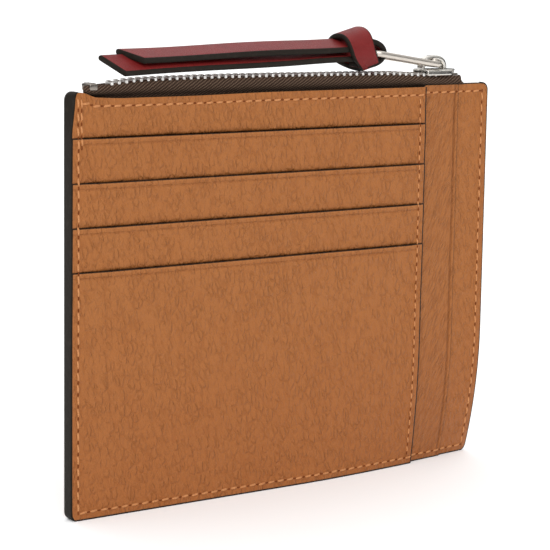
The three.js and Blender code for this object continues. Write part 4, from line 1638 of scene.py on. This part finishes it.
@dataclass
class PullStrap:
    """The burgundy strap: a bight through the link, a wrapped knot and two tails."""

    width: float = 7.2
    thickness: float = 1.4
    edge: float = 0.5
    knot_x: float = 16.14
    bar_z: float = 103.5
    forward: float = 0.4
    knot_z: float = 104.25
    upper_length: float = 60.1
    lower_length: float = 64.9
    upper_end: float = 103.8
    lower_end: float = 101.7
    tail_apart: float = 1.15
    tail_cut: float = 3.6
    bight_x: float = 20.44
    bight_half_long: float = 4.8
    bight_half_high: float = 2.8
    bight_width: float = 6.8
    bight_open: float = 112.0
    wrap_x: float = 16.85
    wrap_z: float = 104.33
    wrap_tilt: float = 15.0
    wrap_half_deep: float = 4.5
    wrap_half_high: float = 3.98
    wrap_slide: float = 5.3
    wrap_under_width: float = 5.4

    def tail(
        self, length: float, start: float, end: float, rolls: tuple[float, float]
    ) -> bmesh.types.BMesh:
        """One tail.

        Args:
            length: Its length from the knot.
            start: Height of its middle at the knot.
            end: Height of its middle at its end.
            rolls: Roll at the knot and at its end, in degrees.

        Returns:
            Its mesh.
        """
        steps = 70
        stations = []
        for i in range(steps + 1):
            t = i / steps
            roll = math.radians(mix(rolls[0], rolls[1], smooth(t, 0.1, 0.95)))
            wave = 0.16 * math.sin(t * 7.0 + start) * smooth(t, 0.0, 0.3)
            sway = 0.25 * math.sin(t * 4 + length) - self.forward
            middle = Vector((self.knot_x - length * t, sway, mix(start, end, t) + wave))
            slant = self.tail_cut / self.width * smooth(t, 0.82, 1.0)
            across = Vector((-slant, math.cos(roll), math.sin(roll)))
            face = Vector((0, -math.sin(roll), math.cos(roll)))
            stations.append((middle, across, face))
        return ribbon(stations, self.width, self.thickness, self.edge)

    def bight(self) -> bmesh.types.BMesh:
        """The open loop round the link's far bar."""
        stations = []
        steps = 40
        half_long, half_high = self.bight_half_long, self.bight_half_high
        for i in range(steps + 1):
            angle = math.radians(mix(self.bight_open, -self.bight_open, i / steps))
            c, s = math.cos(angle), math.sin(angle)
            middle = Vector((self.bight_x + half_long * c, 0, self.bar_z + half_high * s))
            along = Vector((half_long * s, 0, -half_high * c)).normalized()
            across = Vector((0, 1, 0))
            stations.append((middle, across, across.cross(along)))
        return ribbon(stations, self.bight_width, self.thickness, self.edge)

    def wrap(self) -> bmesh.types.BMesh:
        """The band wrapped round the tails, slanting from the upper left to the lower right."""
        steps = 72
        centre = Vector((self.wrap_x, 0, self.wrap_z))
        tilt = math.radians(self.wrap_tilt)
        across = Vector((math.cos(tilt), 0, math.sin(tilt)))
        middles, widths = [], []
        for i in range(steps):
            angle = 2 * math.pi * i / steps
            c, s = math.cos(angle), math.sin(angle)
            y = -self.wrap_half_deep * math.copysign(abs(c) ** 0.85, c)
            z = self.wrap_half_high * math.copysign(abs(s) ** 0.85, s)
            under = ((1 - s) / 2) ** 3
            middles.append(centre + Vector((self.wrap_slide * under, y, z)))
            widths.append(mix(self.width, self.wrap_under_width, under))
        stations = []
        for i in range(steps + 1):
            along = (middles[(i + 1) % steps] - middles[i % steps - 1]).normalized()
            normal = across.cross(along).normalized()
            stations.append((middles[i % steps], across, -normal))
        return ribbon(stations, widths + widths[:1], self.thickness, self.edge, closed=True)

    def core(self) -> bmesh.types.BMesh:
        """The folded leather inside the wrap."""
        return rounded_block(Vector((14.4, -3.4, 101.6)), Vector((21.5, 3.4, 106.8)), 1.2, 4)

    def build(self) -> list[bpy.types.Object]:
        """Builds the strap's pieces, all on the strap."""
        parts = {
            "strap_wrap": self.wrap(),
            "strap_bight": self.bight(),
            "strap_upper_tail": self.tail(
                self.upper_length, self.knot_z + self.tail_apart, self.upper_end, (16, 16)
            ),
            "strap_lower_tail": self.tail(
                self.lower_length, self.knot_z - self.tail_apart, self.lower_end, (16, 31)
            ),
            "strap_knot_core": self.core(),
        }
        looks = (STRAP_LEATHER, EDGE)
        return [
            finish_piece(bm, name, "strap", looks, Slot.BURGUNDY, ("pull_strap",))
            for name, bm in parts.items()
        ]


# ---------------------------------------------------------------- studio


@dataclass
class Studio:
    """Pale floor, soft lights and the camera."""

    camera_at: Vector = field(default_factory=lambda: Vector((-279.3, -391.8, 126.8)) * MM)
    azimuth: float = -35.12
    elevation: float = 8.94
    roll: float = 0.89
    lens: float = 133.98

    def build(self) -> None:
        """Builds the whole studio."""
        self.camera()
        self.floor()
        self.lights()
        self.sky()
        bpy.context.scene.view_settings.view_transform = "Standard"

    def camera(self) -> None:
        """Places the camera at its viewing angle."""
        data = bpy.data.cameras.new("studio_camera")
        data.lens = self.lens
        data.sensor_width = 36.0
        data.clip_start = 0.01
        data.clip_end = 50.0
        view = bpy.data.objects.new("studio_camera", data)
        bpy.context.scene.collection.objects.link(view)
        a, e, r = (math.radians(v) for v in (self.azimuth, self.elevation, self.roll))
        back = Vector((math.sin(a) * math.cos(e), -math.cos(a) * math.cos(e), math.sin(e)))
        right = Vector((0, 0, 1)).cross(back).normalized()
        up = back.cross(right)
        rolled_right = right * math.cos(r) + up * math.sin(r)
        rolled_up = up * math.cos(r) - right * math.sin(r)
        turned = Matrix((rolled_right, rolled_up, back)).transposed().to_4x4()
        view.matrix_world = Matrix.Translation(self.camera_at) @ turned
        bpy.context.scene.camera = view

    def floor(self) -> None:
        """Lays the pale floor."""
        bm = bmesh.new()
        bmesh.ops.create_grid(bm, x_segments=2, y_segments=2, size=6.0)
        mesh = bpy.data.meshes.new("studio_floor")
        bm.to_mesh(mesh)
        bm.free()
        plane = bpy.data.objects.new("studio_floor", mesh)
        bpy.context.scene.collection.objects.link(plane)
        s = Shader("floor_white")
        s.set(Base_Color=(0.93, 0.93, 0.93, 1), Roughness=0.9, Specular_IOR_Level=0.1)
        mesh.materials.append(s.material)

    def lights(self) -> None:
        """Hangs two broad soft lights."""
        wanted = (("key", (-0.45, -0.8, 0.75), 50.0, 1.5), ("back", (0.35, 0.6, 0.9), 60.0, 0.7))
        for name, place, spread, power in wanted:
            data = bpy.data.lights.new(name, "SUN")
            data.angle = math.radians(spread)
            data.energy = power
            lamp = bpy.data.objects.new(name, data)
            bpy.context.scene.collection.objects.link(lamp)
            lamp.location = place
            lamp.rotation_euler = (-Vector(place)).to_track_quat("-Z", "Y").to_euler()

    def sky(self) -> None:
        """Surrounds the set with a white sky that lights less towards the horizon."""
        world = bpy.data.worlds.new("studio_sky")
        bpy.context.scene.world = world
        world.use_nodes = True
        tree = world.node_tree
        tree.nodes.clear()
        made = tree.nodes.new
        join = tree.links.new
        split = made("ShaderNodeSeparateXYZ")
        join(made("ShaderNodeTexCoord").outputs["Generated"], split.inputs[0])

        def backdrop(ramp: tuple[float, float, float, float] | None) -> bpy.types.NodeSocket:
            """A white sky, plain or with its strength ramped from one height and value to another."""
            sky = made("ShaderNodeBackground")
            sky.inputs["Color"].default_value = (1, 1, 1, 1)
            sky.inputs["Strength"].default_value = 1.0
            if ramp:
                eased = made("ShaderNodeMapRange")
                eased.interpolation_type = "SMOOTHSTEP"
                for key, value in zip(("From Min", "From Max", "To Min", "To Max"), ramp):
                    eased.inputs[key].default_value = value
                join(split.outputs[2], eased.inputs["Value"])
                join(eased.outputs[0], sky.inputs["Strength"])
            return sky.outputs[0]

        def chosen(
            ray: str, otherwise: bpy.types.NodeSocket, seen: bpy.types.NodeSocket
        ) -> bpy.types.NodeSocket:
            """Shows one backdrop to a kind of ray and another to the rest."""
            chooser = made("ShaderNodeMixShader")
            join(made("ShaderNodeLightPath").outputs[ray], chooser.inputs[0])
            join(otherwise, chooser.inputs[1])
            join(seen, chooser.inputs[2])
            return chooser.outputs[0]

        light = backdrop((0.0, 0.55, 0.45, 1.0))
        shine = backdrop((0.12, 0.5, 0.064, 0.76))
        light = chosen("Is Camera Ray", light, backdrop(None))
        light = chosen("Is Glossy Ray", light, shine)
        output = made("ShaderNodeOutputWorld")
        join(light, output.inputs[0])


def main() -> None:
    """Builds the pouch piece by piece."""
    logging.basicConfig(level=logging.INFO, format="%(message)s")
    Studio().build()
    LeatherWork().build()
    EdgeCoat().build()
    Stitching().build()
    for face in ("front", "back"):
        ClothLayer(f"{face}_lining", f"lining_{face}", 0.15).build()
    for number in (1, 2, 3):
        ClothLayer(f"slot_pocket_bag_{number}", f"slot_bag_{number}", 0.08).build()
    for side in Side:
        ZipperTape(side).build()
    TeethRow(Side.FRONT, -49.7, 50).build()
    TeethRow(Side.BACK, -48.762, 50).build()
    ZipperStops().build()
    Slider().build()
    PullLink().build()
    PullStrap().build()


if __name__ == "__main__":
    main()
